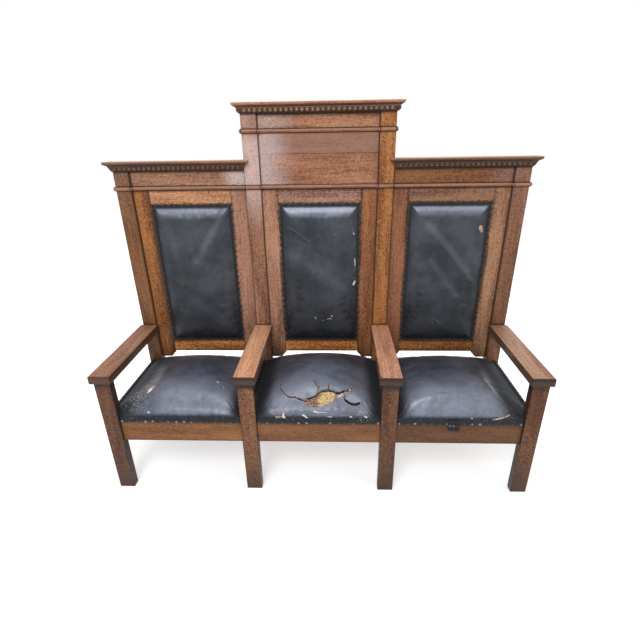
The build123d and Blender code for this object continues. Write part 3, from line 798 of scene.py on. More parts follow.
def smoothed(first, second, blend):
    """The lesser of two heights, with a soft ridge where they cross."""
    share = np.clip(0.5 + 0.5 * (second - first) / blend, 0, 1)
    return second + (first - second) * share - blend * share * (1 - share)


def eased(value, low, high):
    """Rises from 0 to 1 while a value goes from low to high, in either order."""
    share = np.clip((value - low) / (high - low), 0, 1)
    return share * share * (3 - 2 * share)


def paced(low, high, step, height_at, fixed):
    """Coordinates from low to high, closer where a form is steep, some of them on fixed places."""
    fine = np.linspace(low, high, 3000)
    length = np.concatenate([[0], np.cumsum(np.hypot(np.diff(fine), np.diff(height_at(fine))))])
    places = np.interp(np.linspace(0, length[-1], int(length[-1] / step) + 1), length, fine)
    for place in fixed:
        places[np.abs(places - place).argmin()] = place
    return places


def centres(us, ws):
    """The middles of a grid's squares, as two grids of coordinates."""
    return np.meshgrid((us[1:] + us[:-1]) / 2, (ws[1:] + ws[:-1]) / 2)


def outward(points):
    """The outward direction of a grid at each of its points."""
    normals = np.cross(np.gradient(points, axis=1), np.gradient(points, axis=0))
    return normals / np.maximum(np.linalg.norm(normals, axis=-1, keepdims=True), 1e-12)


def from_line(points, normals, line):
    """How far each point of a grid is from a line drawn on it, negative on the line's right side."""
    nearest = np.full(points.shape[:2], 9.0)
    for start, end in zip(line, line[1:]):
        start, step = np.array(start), np.subtract(end, start)
        share = np.clip((points - start) @ step / (step @ step), 0, 1)
        gap = points - (start + share[..., None] * step)
        length = np.linalg.norm(gap, axis=-1)
        sign = np.where(np.sum(np.cross(step, gap) * normals, -1) < 0, -1, 1)
        nearest = np.where(length < np.abs(nearest), length * sign, nearest)
    return nearest


def marked(points, draw, cracks=(), scuffs=(), tans=(), whites=(), gashes=()):
    """Marks of wear on a grid: how far its points are from fine lines, and spots with a radius."""
    normals, marks = outward(points), {}
    for mark, lines, reach in (("crack", cracks, 0.014), ("scuff", scuffs, 0.008)):
        nearest = np.full(points.shape[:2], 9.0)
        for line in lines:
            away = from_line(points, normals, draw(line))
            nearest = np.where(np.abs(away) < np.abs(nearest), away, nearest)
        marks[f"{mark}_side"] = np.clip(nearest, -0.05, 0.05)
        marks[f"{mark}_reach"] = np.clip(1 - np.abs(nearest) / reach, 0, 1)
    for mark, spots in (("tan", tans), ("white", whites), ("gash", gashes)):
        marks[mark] = np.zeros(points.shape[:2])
        for line, radius in spots:
            away = np.abs(from_line(points, normals, draw(line)))
            marks[mark] = np.maximum(marks[mark], np.clip(1.5 - away / radius, 0, 1))
    return marks


def fold_lift(points, draw, folds):
    """How far soft folds along lines raise a grid: each is a line, its half width and its height."""
    normals, lift = outward(points), np.zeros(points.shape[:2])
    for line, width, height in folds:
        lift += height * np.exp(-(from_line(points, normals, draw(line)) / width) ** 2)
    return lift


def within(outline, u, w):
    """Whether places in plan lie inside an outline."""
    found = np.zeros(np.broadcast(u, w).shape, bool)
    for start, end in zip(outline, outline[1:] + outline[:1]):
        with np.errstate(divide="ignore", invalid="ignore"):
            crossing = start[0] + (w - start[1]) / (end[1] - start[1]) * (end[0] - start[0])
            found ^= ((start[1] > w) != (end[1] > w)) & (u < crossing)
    return found


def corners_of(squares):
    """Which points of a grid are corners of its chosen squares."""
    down, across = squares.shape
    found = np.zeros((down + 1, across + 1), bool)
    for i, j in ((0, 0), (0, 1), (1, 0), (1, 1)):
        found[i:i + down, j:j + across] |= squares
    return found


def surface_of(mesh):
    """A mesh's surface, to send rays at."""
    return BVHTree.FromPolygons([point.co for point in mesh.vertices],
                                [face.vertices for face in mesh.polygons])


cloth_settings = {"quality": 4, "mass": 0.4, "tension_stiffness": 12, "compression_stiffness": 12,
                  "shear_stiffness": 6, "bending_stiffness": 2.5, "use_pressure": True,
                  "uniform_pressure_force": 4, "shrink_min": -0.008, "vertex_group_mass": "nailed"}
cloth_steps, cloth_voxel = 20, 0.006


def swollen(name, outer, back, held, free, limit):
    """Lets a closed form swell as stuffed cloth, held where it is nailed, and moves the grid with it."""
    form = make_sheet(name, outer, back)
    remesh = form.modifiers.new("remesh", "REMESH")
    remesh.mode, remesh.voxel_size = "VOXEL", cloth_voxel
    started = as_modified(form)
    form.modifiers.clear()
    form.data = started
    points = np.empty(len(started.vertices) * 3)
    started.vertices.foreach_get("co", points)
    nailed = form.vertex_groups.new(name="nailed")
    nailed.add([int(i) for i in np.nonzero(held(points.reshape(-1, 3)))[0]], 1.0, "REPLACE")
    cloth = form.modifiers.new("cloth", "CLOTH")
    for setting, value in cloth_settings.items():
        setattr(cloth.settings, setting, value)
    cloth.settings.effector_weights.gravity = 0
    cloth.collision_settings.use_collision = False
    cloth.point_cache.frame_start, cloth.point_cache.frame_end = 1, cloth_steps
    for step in range(1, cloth_steps + 1):
        bpy.context.scene.frame_set(step)
    swelled = surface_of(as_modified(form))
    bpy.data.objects.remove(form)
    bpy.context.scene.frame_set(1)
    # A ray from just below each point of the grid finds how far the cloth has moved out there
    normals, reach, below, farthest = outward(outer), np.zeros(outer.shape[:2]), 0.006, 0.06
    for index in zip(*np.nonzero(free > 0.01)):
        start, way = Vector(outer[index] - normals[index] * below), Vector(normals[index])
        away = swelled.ray_cast(start, way, farthest)[3]
        reach[index] = limit * math.tanh((away - below) / limit) if away else 0
    for _ in range(3):
        wide = np.pad(reach, 1, mode="edge")
        beside = wide[:-2, 1:-1] + wide[2:, 1:-1] + wide[1:-1, :-2] + wide[1:-1, 2:]
        reach = (beside + 2 * reach) / 6
    return outer + normals * (np.maximum(reach, -0.002) * free)[..., None]


def leather(name, seed, dark, light, rub=0.3, shine=0.7):
    """Old charcoal-black hide: cloudy, finely pebbled, rubbed grey with a painted sheen, darkened by grime and
    painted shade, and cracked where the marks say.
    """
    finish = Finish(name, Specular_IOR_Level=0.42, Specular_Tint=(0.78, 0.86, 1.0, 1.0), Coat_Roughness=0.34)
    mark = {key: finish.node("Attribute", {"attribute_name": key}, output="Fac")
            for key in ("crack_side", "crack_reach", "scuff_side", "scuff_reach", "tan", "white", "gash",
                        "grime", "rubbed", "speck")}
    x, y, z = [value + seed for value in finish.place()]
    cloud = finish.noise(x * 7, y * 7, z * 7, detail=4, roughness=0.6)
    mottle = finish.noise(x * 38, y * 38, z * 38, detail=4, roughness=0.7, distortion=0.4)
    streak = finish.noise(x * 30 + z * 25, y * 150, z * 160 - x * 60, detail=3, roughness=0.6)
    spot = finish.node("CombineXYZ", inputs={0: x, 1: y, 2: z})
    pebble = finish.node("TexVoronoi", {"feature": "F1"}, {"Vector": spot, "Scale": 520.0})
    hide = finish.mix(finish.between(cloud, 0.32, 0.68), dark, light)
    hide = finish.mix(finish.between(mottle, 0.54, 0.72) * 0.18, hide, tuple(c * 1.8 for c in light))
    streaked = finish.between(streak, 0.62, 0.74) * finish.between(cloud, 0.46, 0.66) * rub
    hide = finish.mix(streaked, hide, (0.16, 0.16, 0.18))
    # Sitting has rubbed the black off the crowns, where a bluish painted sheen and painted highlight are laid
    # too, and grime with painted shade stays where nothing rubs
    rubbed = mark["rubbed"] * (0.80 + (streak - 0.5) * 0.9 + (cloud - 0.5) * 0.8)
    hide = finish.mix(rubbed, hide, (0.165, 0.175, 0.225))
    # Painted highlight: pale blue-grey where the sheen mark is strongest
    painted_highlight = finish.between(mark["rubbed"] + (streak - 0.5) * 0.3, 0.95, 1.7)
    hide = finish.mix(painted_highlight, hide, (0.36, 0.38, 0.46))
    # Grime and painted shade: near black on the band, the low edges and the shaded sides
    hide = finish.mix(mark["grime"], hide, (0.0045, 0.0045, 0.005))
    hide = finish.mix(finish.between(mottle, 0.44, 0.34) * 0.22, hide, tuple(c * 0.5 for c in dark))
    ragged = (mottle - 0.5) * 0.009
    scuff = finish.between(abs(mark["scuff_side"]) + ragged, 0.0028, 0.0006)
    scuff = scuff * finish.between(mark["scuff_reach"], 0.10, 0.6) * finish.between(mottle, 0.47, 0.58)
    hide = finish.mix(scuff * 0.5, hide, (0.36, 0.36, 0.38))
    # A crack shows the pale flesh of the hide on its lips, and black in its depth
    away, near = abs(mark["crack_side"]) + ragged, finish.between(mark["crack_reach"], 0.10, 0.45)
    flesh = finish.between(away, 0.0050, 0.0026) * near
    torn = finish.mix(finish.between(streak, 0.38, 0.60), (0.085, 0.040, 0.028), (0.40, 0.24, 0.165))
    hide = finish.mix(flesh * 0.85, hide, torn)
    split = finish.between(away, 0.0026, 0.0010) * near
    hide = finish.mix(split, hide, (0.010, 0.007, 0.006))
    gash = mark["gash"] + (mottle - 0.5) * 1.1
    hide = finish.mix(finish.between(gash, 0.20, 0.36), hide, torn)
    hole = finish.between(gash, 0.46, 0.60)
    hide = finish.mix(hole, hide, (0.006, 0.004, 0.0035))
    tan = finish.between(mark["tan"] + (mottle - 0.5) * 2.0, 0.46, 0.62)
    bare = finish.mix(finish.between(streak, 0.35, 0.60), (0.20, 0.10, 0.065), (0.62, 0.43, 0.31))
    hide = finish.mix(tan, hide, bare)
    white = finish.between(mark["white"] + (mottle - 0.5) * 2.0, 0.56, 0.70)
    grit = finish.noise(x * 210, y * 210, z * 210, detail=1) + mark["speck"] * 0.06
    dots = finish.between(grit, 0.655, 0.70) * mark["speck"]
    hide = finish.mix(white.most(dots * 0.8), hide, (0.66, 0.63, 0.60))
    relief = pebble * 0.2 + mottle * 0.55 - split * 2.5 - hole * 2.5
    relief = relief + tan * -0.5 + streak * 0.15 + cloud * 1.5
    gloss = 0.44 + (mottle - 0.5) * 0.24 + (cloud - 0.5) * 0.20
    gloss = gloss + flesh * 0.4 + tan * 0.4 + hole * 0.4 + mark["grime"] * 0.36
    polish = (1 - mark["grime"]) * (1 - flesh) * (1 - tan) * (1 - hole)
    polish = polish * (0.35 + finish.between(cloud, 0.30, 0.70) * 0.8 + (mottle - 0.5) * 0.8)
    return finish.give(Base_Color=hide, Roughness=gloss, Normal=finish.bump(relief, 0.35, 0.0011),
                       Coat_Weight=polish * shine)


def straw(name):
    """Matted straw and curled hair, in the coarse form that shows where the hide is gone."""
    finish = Finish(name, Specular_IOR_Level=0.1, Roughness=0.95)
    x, y, z = finish.place()
    strands = finish.noise(x * 170 + y * 60, y * 700, z * 500, detail=3, distortion=1.5)
    crossing = finish.noise(x * 700, y * 160 - x * 80, z * 500, detail=3, distortion=1.5)
    pile = strands.most(crossing)
    cloud = finish.noise(x * 30, y * 30, z * 30, detail=3)
    clump = finish.noise(x * 150 + y * 60, y * 210, z * 210, detail=2, roughness=0.7, distortion=1.2)
    brown = finish.between(x + (cloud - 0.5) * 0.07, 0.012, -0.008)
    pale = finish.mix(brown, (0.94, 0.74, 0.38), (0.66, 0.41, 0.27))
    deep = finish.mix(brown, (0.52, 0.33, 0.14), (0.085, 0.034, 0.022))
    fibre = finish.mix(finish.between(pile + (clump - 0.5) * 1.2, 0.46, 0.66), deep, pale)
    fibre = finish.mix(finish.between(clump, 0.44, 0.34) * 0.7, fibre, (0.05, 0.025, 0.016))
    return finish.give(Base_Color=fibre, Normal=finish.bump(pile + clump, 0.8, 0.002))


leather_thickness, seat_base, band_drop = 0.0025, 0.4283, 0.036
seat_border, rear_border, seat_shoulder = 0.020, 0.012, 0.078
front_swell, swell_height, band_scallop, band_tuck, band_belly = 0.011, 0.080, 0.0028, 0.0016, 0.0035
straw_gap, straw_lift, tuft_height, heap_height = 0.0058, 0.0040, 0.0014, 0.0045
straw_size = (0.0011, 0.019, 0.0009)
nail_pitch, nail_dip = 0.036, 0.0009
hide_nails = {"places": [], "facings": []}
straw_pile = straw("straw")


def nails_along(line, facing, pitch_wanted=nail_pitch, jitter=0.0012):
    """Keeps nail places at an even pitch along a line, a little out of true as hand-driven ones are."""
    start, end, facing = np.array(line[0]), np.array(line[1]), np.array(facing)
    count = int(round(np.linalg.norm(end - start) / pitch_wanted))
    for k in range(count + 1):
        wander = np.array([math.sin(17.3 * len(hide_nails["places"]) + i) for i in range(3)]) * jitter
        wander -= facing * (wander @ facing)
        hide_nails["places"].append(tuple(start + (end - start) * k / count + wander))
        hide_nails["facings"].append(tuple(facing + wander * 60))


def seat_form(bay, crown, rise, step, shoulder, fall, lean):
    """The grid of a seat's dome with its flat border: coordinates, heights and the corner notches."""
    low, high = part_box(f"seat_leather_{bay}")
    xs, ys = (low[0] + seat_border, high[0] - seat_border), (low[1], high[1] - rear_border)
    half_x, half_y = (xs[1] - xs[0]) / 2, (ys[1] - ys[0]) / 2
    mid_x, mid_y = sum(xs) / 2, sum(ys) / 2
    gap, middle = 0.0012, bays[bay]
    legs = (middle - opening + gap, middle + opening - gap)
    leg_back, post_front = leg_rear + gap, post_face - gap
    side_fall, corner_sink, corner_reach = 0.62, 0.55, 0.045

    def height(u, w):
        across = arch(u - mid_x, half_x, crown, shoulder, rise)
        along = arch(w - mid_y, half_y, crown + 0.003, seat_shoulder, fall)
        along = along * (1 - side_fall * (1 - across / crown))
        up = smoothed(across, along, 0.016) * (1 + lean * (u - mid_x) / half_x)
        clear_u = np.maximum(opening - np.abs(u - middle), 0)
        clear_w = np.maximum(np.minimum(w - leg_back, post_front - w), 0)
        beside = (np.abs(u - middle) > opening - gap) & (clear_w > 0)
        near = np.where(beside, clear_w, np.hypot(clear_u, clear_w))
        return np.maximum(up, 0) * (1 - corner_sink * (1 - eased(near, 0.0, corner_reach)))

    us = paced(low[0], high[0], step, lambda u: height(u, mid_y), (xs[0], xs[1], *legs))
    ws = paced(low[1], high[1], step, lambda w: height(mid_x, w), (ys[1], leg_back, post_front))
    return us, ws, height, legs, (leg_back, post_front), (xs, ys)


# Marks of wear lie on lines of places in plan, counted from the middle of their seat
outer_dome = dict(crown=0.094, rise=0.060, shoulder=0.050, fall=0.0294, step=0.0055, lean=0.0)
centre_dome = dict(crown=0.118, rise=0.080, shoulder=0.040, fall=0.0378, step=0.0042, lean=0.04)
corner_folds = [([(0.288, -0.286), (0.262, -0.266), (0.235, -0.225)], 0.005, -0.0035),
                ([(0.262, -0.284), (0.245, -0.262)], 0.004, -0.0025),
                ([(0.281, -0.240), (0.250, -0.215)], 0.004, -0.0025)]
tear = [(-0.064, -0.241), (-0.056, -0.251), (-0.040, -0.255), (-0.022, -0.259), (0.002, -0.256),
        (0.028, -0.253), (0.050, -0.247), (0.068, -0.240), (0.079, -0.227), (0.081, -0.211),
        (0.070, -0.203), (0.048, -0.199), (0.018, -0.203), (0.000, -0.214), (-0.012, -0.226),
        (-0.034, -0.232), (-0.050, -0.234)]
cracks = [[(-0.190, -0.130), (-0.184, -0.168), (-0.166, -0.196), (-0.142, -0.220), (-0.112, -0.222),
           (-0.092, -0.230), (-0.060, -0.242)],
          [(0.078, -0.210), (0.104, -0.208), (0.120, -0.194), (0.145, -0.190), (0.160, -0.170),
           (0.184, -0.158)],
          [(0.120, -0.214), (0.124, -0.230), (0.148, -0.244), (0.174, -0.246), (0.194, -0.238)],
          [(-0.026, -0.132), (-0.012, -0.160), (0.004, -0.176), (-0.004, -0.192), (0.000, -0.212)],
          [(0.050, -0.160), (0.046, -0.180), (0.050, -0.204)]]
seat_looks = {
    "left": dict(
        dome=outer_dome, rubbed=0.9, worn_and_lit=(-0.20, -0.06), reach=0.27, dark_side=(0.175, 0.070),
        specks=[(-0.225, -0.20, 0.06, 0.07, 1.0), (-0.18, -0.10, 0.06, 0.05, 0.7),
                (0.15, -0.10, 0.06, 0.05, 0.25), (0.0, -0.30, 0.4, 0.012, 0.6)],
        folds=[],
        marks=dict(
            scuffs=[[(-0.235, -0.232), (-0.205, -0.250), (-0.150, -0.258)],
                    [(-0.190, -0.215), (-0.165, -0.236)],
                    [(-0.060, -0.200), (0.020, -0.225), (0.060, -0.222)]],
            tans=[([(-0.174, -0.146), (-0.181, -0.180)], 0.0095)],
            whites=[([(0.141, -0.099), (0.146, -0.104)], 0.005), ([(0.179, -0.129), (0.181, -0.131)], 0.004),
                    ([(-0.172, -0.160), (-0.177, -0.172)], 0.007),
                    ([(-0.15, -0.272), (-0.145, -0.274)], 0.004)])),
    "centre": dict(
        dome=centre_dome, rubbed=0.75, worn_and_lit=(-0.30, -0.25), reach=0.42, dark_side=(0.100, 0.035),
        specks=[(0.20, -0.275, 0.05, 0.020, 0.7), (-0.12, -0.268, 0.08, 0.015, 0.5),
                (0.0, -0.30, 0.4, 0.012, 0.5)],
        folds=[(tear[8:] + tear[:1], 0.010, 0.0050), (tear[:8], 0.012, -0.0015),
               (cracks[0], 0.004, -0.0015), (cracks[0], 0.014, 0.0014), (cracks[1], 0.010, 0.002),
               (cracks[2], 0.012, 0.0028),
               ([(-0.10, 0.02), (0.0, -0.06), (0.10, -0.10), (0.19, -0.13)], 0.016, -0.0022)],
        marks=dict(
            cracks=cracks,
            scuffs=[[(-0.240, -0.240), (-0.212, -0.266), (-0.205, -0.282)],
                    [(-0.230, -0.272), (-0.150, -0.270), (-0.085, -0.276)],
                    [(-0.150, -0.262), (-0.125, -0.282)],
                    [(-0.095, -0.262), (-0.070, -0.270), (-0.062, -0.280)],
                    [(-0.010, -0.277), (0.045, -0.279), (0.080, -0.279)],
                    [(0.100, -0.281), (0.160, -0.280), (0.235, -0.282)],
                    [(0.185, -0.262), (0.215, -0.276), (0.240, -0.284)]],
            tans=[([(-0.196, -0.2855), (-0.166, -0.284)], 0.005), ([(-0.166, -0.270), (-0.160, -0.277)], 0.006),
                  ([(0.092, -0.222), (0.104, -0.218)], 0.0060), ([(0.110, -0.208), (0.118, -0.214)], 0.0045),
                  ([(0.128, -0.200), (0.138, -0.194)], 0.0042), ([(0.146, -0.184), (0.152, -0.180)], 0.0036)],
            whites=[([(-0.164, -0.281), (-0.160, -0.2865)], 0.008),
                    ([(-0.072, -0.280), (-0.052, -0.2868)], 0.005),
                    ([(-0.020, -0.272), (0.040, -0.273)], 0.0028), ([(0.045, -0.284), (0.062, -0.2845)], 0.003),
                    ([(0.150, -0.283), (0.156, -0.2845)], 0.004), ([(0.220, -0.282), (0.226, -0.2845)], 0.004)],
            gashes=[([(0.076, -0.210), (0.100, -0.204), (0.120, -0.194)], 0.0065),
                    ([(0.132, -0.191), (0.156, -0.174)], 0.0050),
                    ([(0.126, -0.232), (0.148, -0.244), (0.174, -0.246), (0.192, -0.239)], 0.0060),
                    ([(-0.150, -0.216), (-0.120, -0.222)], 0.0030),
                    ([(-0.100, -0.228), (-0.070, -0.238)], 0.0035),
                    ([(-0.052, -0.233), (-0.014, -0.225), (0.000, -0.212), (0.018, -0.201), (0.048, -0.196),
                      (0.072, -0.201)], 0.0050)])),
    "right": dict(
        dome=outer_dome, rubbed=0.85, worn_and_lit=(0.22, 0.12), reach=0.30, dark_side=(0.150, 0.100),
        specks=[(0.17, -0.26, 0.08, 0.03, 0.35), (-0.22, -0.26, 0.05, 0.03, 0.25),
                (0.0, -0.30, 0.4, 0.012, 0.5)],
        folds=[([(0.160, -0.06), (0.172, -0.15), (0.170, -0.20), (0.215, -0.25)], 0.013, 0.0042),
               ([(0.195, -0.10), (0.205, -0.18), (0.235, -0.225)], 0.014, -0.0030),
               ([(-0.20, -0.215), (-0.10, -0.205), (0.05, -0.190), (0.15, -0.185)], 0.018, 0.0022)],
        marks=dict(
            scuffs=[[(-0.230, -0.262), (-0.170, -0.276), (-0.090, -0.280)],
                    [(0.120, -0.270), (0.200, -0.280), (0.250, -0.284)], [(-0.040, -0.236), (0.030, -0.255)]],
            tans=[([(0.160, -0.2868), (0.190, -0.282), (0.222, -0.272)], 0.0036)],
            whites=[([(0.05, -0.284), (0.056, -0.285)], 0.004), ([(0.150, -0.2865), (0.158, -0.287)], 0.003)]))}
for number, (bay, look) in enumerate(seat_looks.items()):
    middle = bays[bay]
    us, ws, height, legs, (leg_back, post_front), (xs, ys) = seat_form(bay, **look["dome"])

    def risen(u, w):
        """The level of the hide over places in plan."""
        return seat_base + np.hypot(height(u, w), leather_thickness)

    def clear(u, w, inset=0.0):
        """Whether places in plan are outside the corners that are cut for the legs and posts."""
        return (((u > legs[0] + inset) & (u < legs[1] - inset))
                | ((w > leg_back + inset) & (w < post_front - inset)))

    def on_dome(line):
        """A line on the form of this seat, from places in plan beside the seat's middle."""
        return [(middle + u, w, float(risen(np.array(middle + u), np.array(w)))) for u, w in line]

    plain = grid(us, ws, lambda u, w: (u, w, risen(u, w)))
    bed = grid(us, ws, lambda u, w: (u, w, np.full(u.shape, seat_base - 0.002)))
    free = eased(height(*np.meshgrid(us, ws)), 0.001, 0.014)
    dome = swollen(f"form_{bay}", plain, bed, lambda points: points[:, 2] < seat_base + 0.008, free, 0.009)
    # The hide is pulled in at the nails and swells over the front rail between the legs
    from_side = np.minimum(us - xs[0], xs[1] - us)[None, :]
    from_back, from_front = (ys[1] - ws)[:, None], (ws - ys[0])[:, None]
    up = dome[..., 2] - seat_base
    dome[..., 1] -= (front_swell * np.sin(np.pi * np.clip(up / swell_height, 0, 1))
                     * eased(from_front, 0.10, 0.02))
    by_nails_u = np.cos(2 * np.pi * (us - middle) / nail_pitch)
    by_nails_w = np.cos(2 * np.pi * ws / nail_pitch)[:, None]
    dip = (np.exp(-((from_front - 0.008) / 0.022) ** 2) * by_nails_u
           + np.exp(-(from_back / 0.030) ** 2) * by_nails_u
           + np.exp(-(from_side / 0.026) ** 2) * by_nails_w)
    dome[..., 2] -= nail_dip * dip * eased(up, 0.001, 0.012)
    # The band hangs down over the front rail, scalloped between its nails
    levels = np.linspace(seat_base - band_drop + 0.003, seat_base, 8)[:-1]
    band = []
    for level in levels:
        share = (seat_base - level) / band_drop
        scallop = share * (1 - by_nails_u)
        ripple = ys[0] + 0.0003 - band_tuck * scallop * 0.5 - band_belly * np.sin(np.pi * share) ** 2
        band.append(np.stack([us, ripple, level + band_scallop * scallop], -1))
    sheet, plain = np.concatenate([np.array(band), dome]), np.concatenate([np.array(band), plain])
    depth_at = np.concatenate([np.full(len(levels), ys[0]), ws])

    # Dirt and painted shade, wear with a painted sheen, and specks, from how far each point is above the rails
    # and from the edges
    marks = marked(plain, on_dome, **look["marks"])
    ahead, level = (depth_at - ys[0])[:, None], plain[..., 2] - seat_base
    outer_side = {"left": us - xs[0], "right": xs[1] - us}.get(bay, from_side[0])[None, :]
    # Painted shade on the outer slopes and beside the legs, and a painted shadow with some dirt on the band
    # under the swell
    by_side = np.maximum(eased(from_side, 0.100, 0.035), eased(outer_side, *look["dark_side"])) * 0.88
    marks["grime"] = np.maximum(eased(level, 0.014, 0.002) * 0.92, by_side)
    # Painted sheen on the front slopes, partly grey wear from sitting
    marks["rubbed"] = (eased(ahead, look["reach"], 0.04) * eased(level, 0.008, 0.022)
                       * eased(from_side, 0.035, 0.10) * look["rubbed"]
                       * (0.3 + 0.7 * eased(us - middle, *look["worn_and_lit"])[None, :]))
    marks["speck"] = np.clip(sum(
        share * np.exp(-((us[None, :] - middle - u) / wide) ** 2 - ((depth_at[:, None] - w) / long) ** 2)
        for u, w, wide, long, share in look["specks"]), 0, 1)
    folds = [([(way * u, w) for u, w in line], width, rise)
             for line, width, rise in corner_folds for way in (-1, 1)] + look["folds"]
    sheet = sheet + outward(sheet) * fold_lift(plain, on_dome, folds)[..., None]
    skin = sheet[len(levels):].copy()

    # The hide covers the squares that are clear of the legs and posts, and not in the tear
    mid_u, mid_w = centres(us, depth_at)
    kept = clear(mid_u, mid_w)
    if bay == "centre":
        draw = np.random.default_rng(23)
        ragged = [(a[0] + (b[0] - a[0]) * share + draw.uniform(-0.0016, 0.0016),
                   a[1] + (b[1] - a[1]) * share + draw.uniform(-0.0018, 0.0018))
                  for a, b in zip(tear, tear[1:] + tear[:1]) for share in (0.0, 0.35, 0.70)]
        inside = within(ragged, mid_u, mid_w)
        kept &= ~inside
        # The points beside the hole are drawn on to its outline, so that its edge is a clean curve
        ring = [Vector((*point, 0)) for point in ragged]
        for i, j in zip(*np.nonzero(corners_of(inside) & corners_of(kept))):
            spot = Vector((us[j], depth_at[i], 0))
            reached = [a.lerp(b, min(max(intersect_point_line(spot, a, b)[1], 0), 1))
                       for a, b in zip(ring, ring[1:] + ring[:1])]
            place = min(reached, key=lambda found: (found - spot).length)
            ends = [height(np.array(end.x), np.array(end.y)) for end in (place, spot)]
            sheet[i, j] += (place.x - spot.x, place.y - spot.y, float(ends[0] - ends[1]))
    cover = leather(f"seat_leather_{bay}", 3.1 * number, (0.019, 0.0205, 0.027), (0.052, 0.056, 0.076))
    hide = make_sheet(f"seat_hide_{bay}", sheet, sheet - outward(sheet) * leather_thickness, kept, marks, cover)
    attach(hide, "root")
    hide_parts(f"seat_leather_{bay}")

    # The stuffing below follows the hide, a little lower all round, with a tufted skin
    u, w = np.meshgrid(us, ws)
    tufts = skin - outward(skin) * straw_gap
    tufts[..., 2] += (tuft_height * np.sin(u * 310 + 3 * np.sin(w * 170))
                      * np.sin(w * 290 + 2 * np.sin(u * 210)))
    if bay == "centre":
        # It heaps up a little in the hole
        tufts[..., 2] += heap_height * np.exp(-((u - 0.020) / 0.055) ** 2 - ((w + 0.230) / 0.024) ** 2)
    bed = tufts.copy()
    bed[..., 2] = seat_base + straw_lift
    mid_u, mid_w = centres(us, ws)
    filled = (height(mid_u, mid_w) > 0.016) & clear(mid_u, mid_w, 0.007)
    pile = make_sheet(f"seat_straw_{bay}", tufts, bed, filled, material=straw_pile)
    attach(pile, "root")
    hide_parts(f"seat_stuffing_{bay}")
    if bay == "centre":
        # Loose straws and hairs lie every way on the pile where the hide is gone
        ground = surface_of(pile.data)
        draw = np.random.default_rng(11)
        scattered = draw.uniform((-0.058, -0.272), (0.090, -0.200), (1400, 2))
        places, facings, ways = [], [], []
        for x, y in scattered[within(tear, *scattered.T)]:
            spot, facing = ground.ray_cast(Vector((x, y, 1)), Vector((0, 0, -1)))[:2]
            turn, lean = draw.uniform(0, math.pi), draw.uniform(-0.16, 0.16, 3)
            places.append(tuple(spot + facing * 0.0006))
            facings.append(tuple(facing + Vector(lean)))
            ways.append((math.cos(turn), math.sin(turn), lean[0]))
        strands = studs("loose_straws", places, facings, straw_size, 0.35, straw_pile, rings=3, seed=4,
                        lengthways=ways)
        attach(strands, "root")

    # Its nails: along the bottom of the band, and on the border over the side and back rails
    y, z = ys[0] - 0.0012, seat_base - band_drop + 0.010
    nails_along([(legs[0] + 0.010, y, z), (legs[1] - 0.010, y, z)], (0, -1, 0), 0.038)
    border = seat_base + leather_thickness
    for x in (xs[0] - 0.009, xs[1] + 0.009):
        nails_along([(x, leg_back + 0.012, border), (x, post_front - 0.012, border)], (0, 0, 1), 0.032)
    y = ys[1] + 0.006
    nails_along([(legs[0] + 0.012, y, border), (legs[1] - 0.012, y, border)], (0, 0, 1))


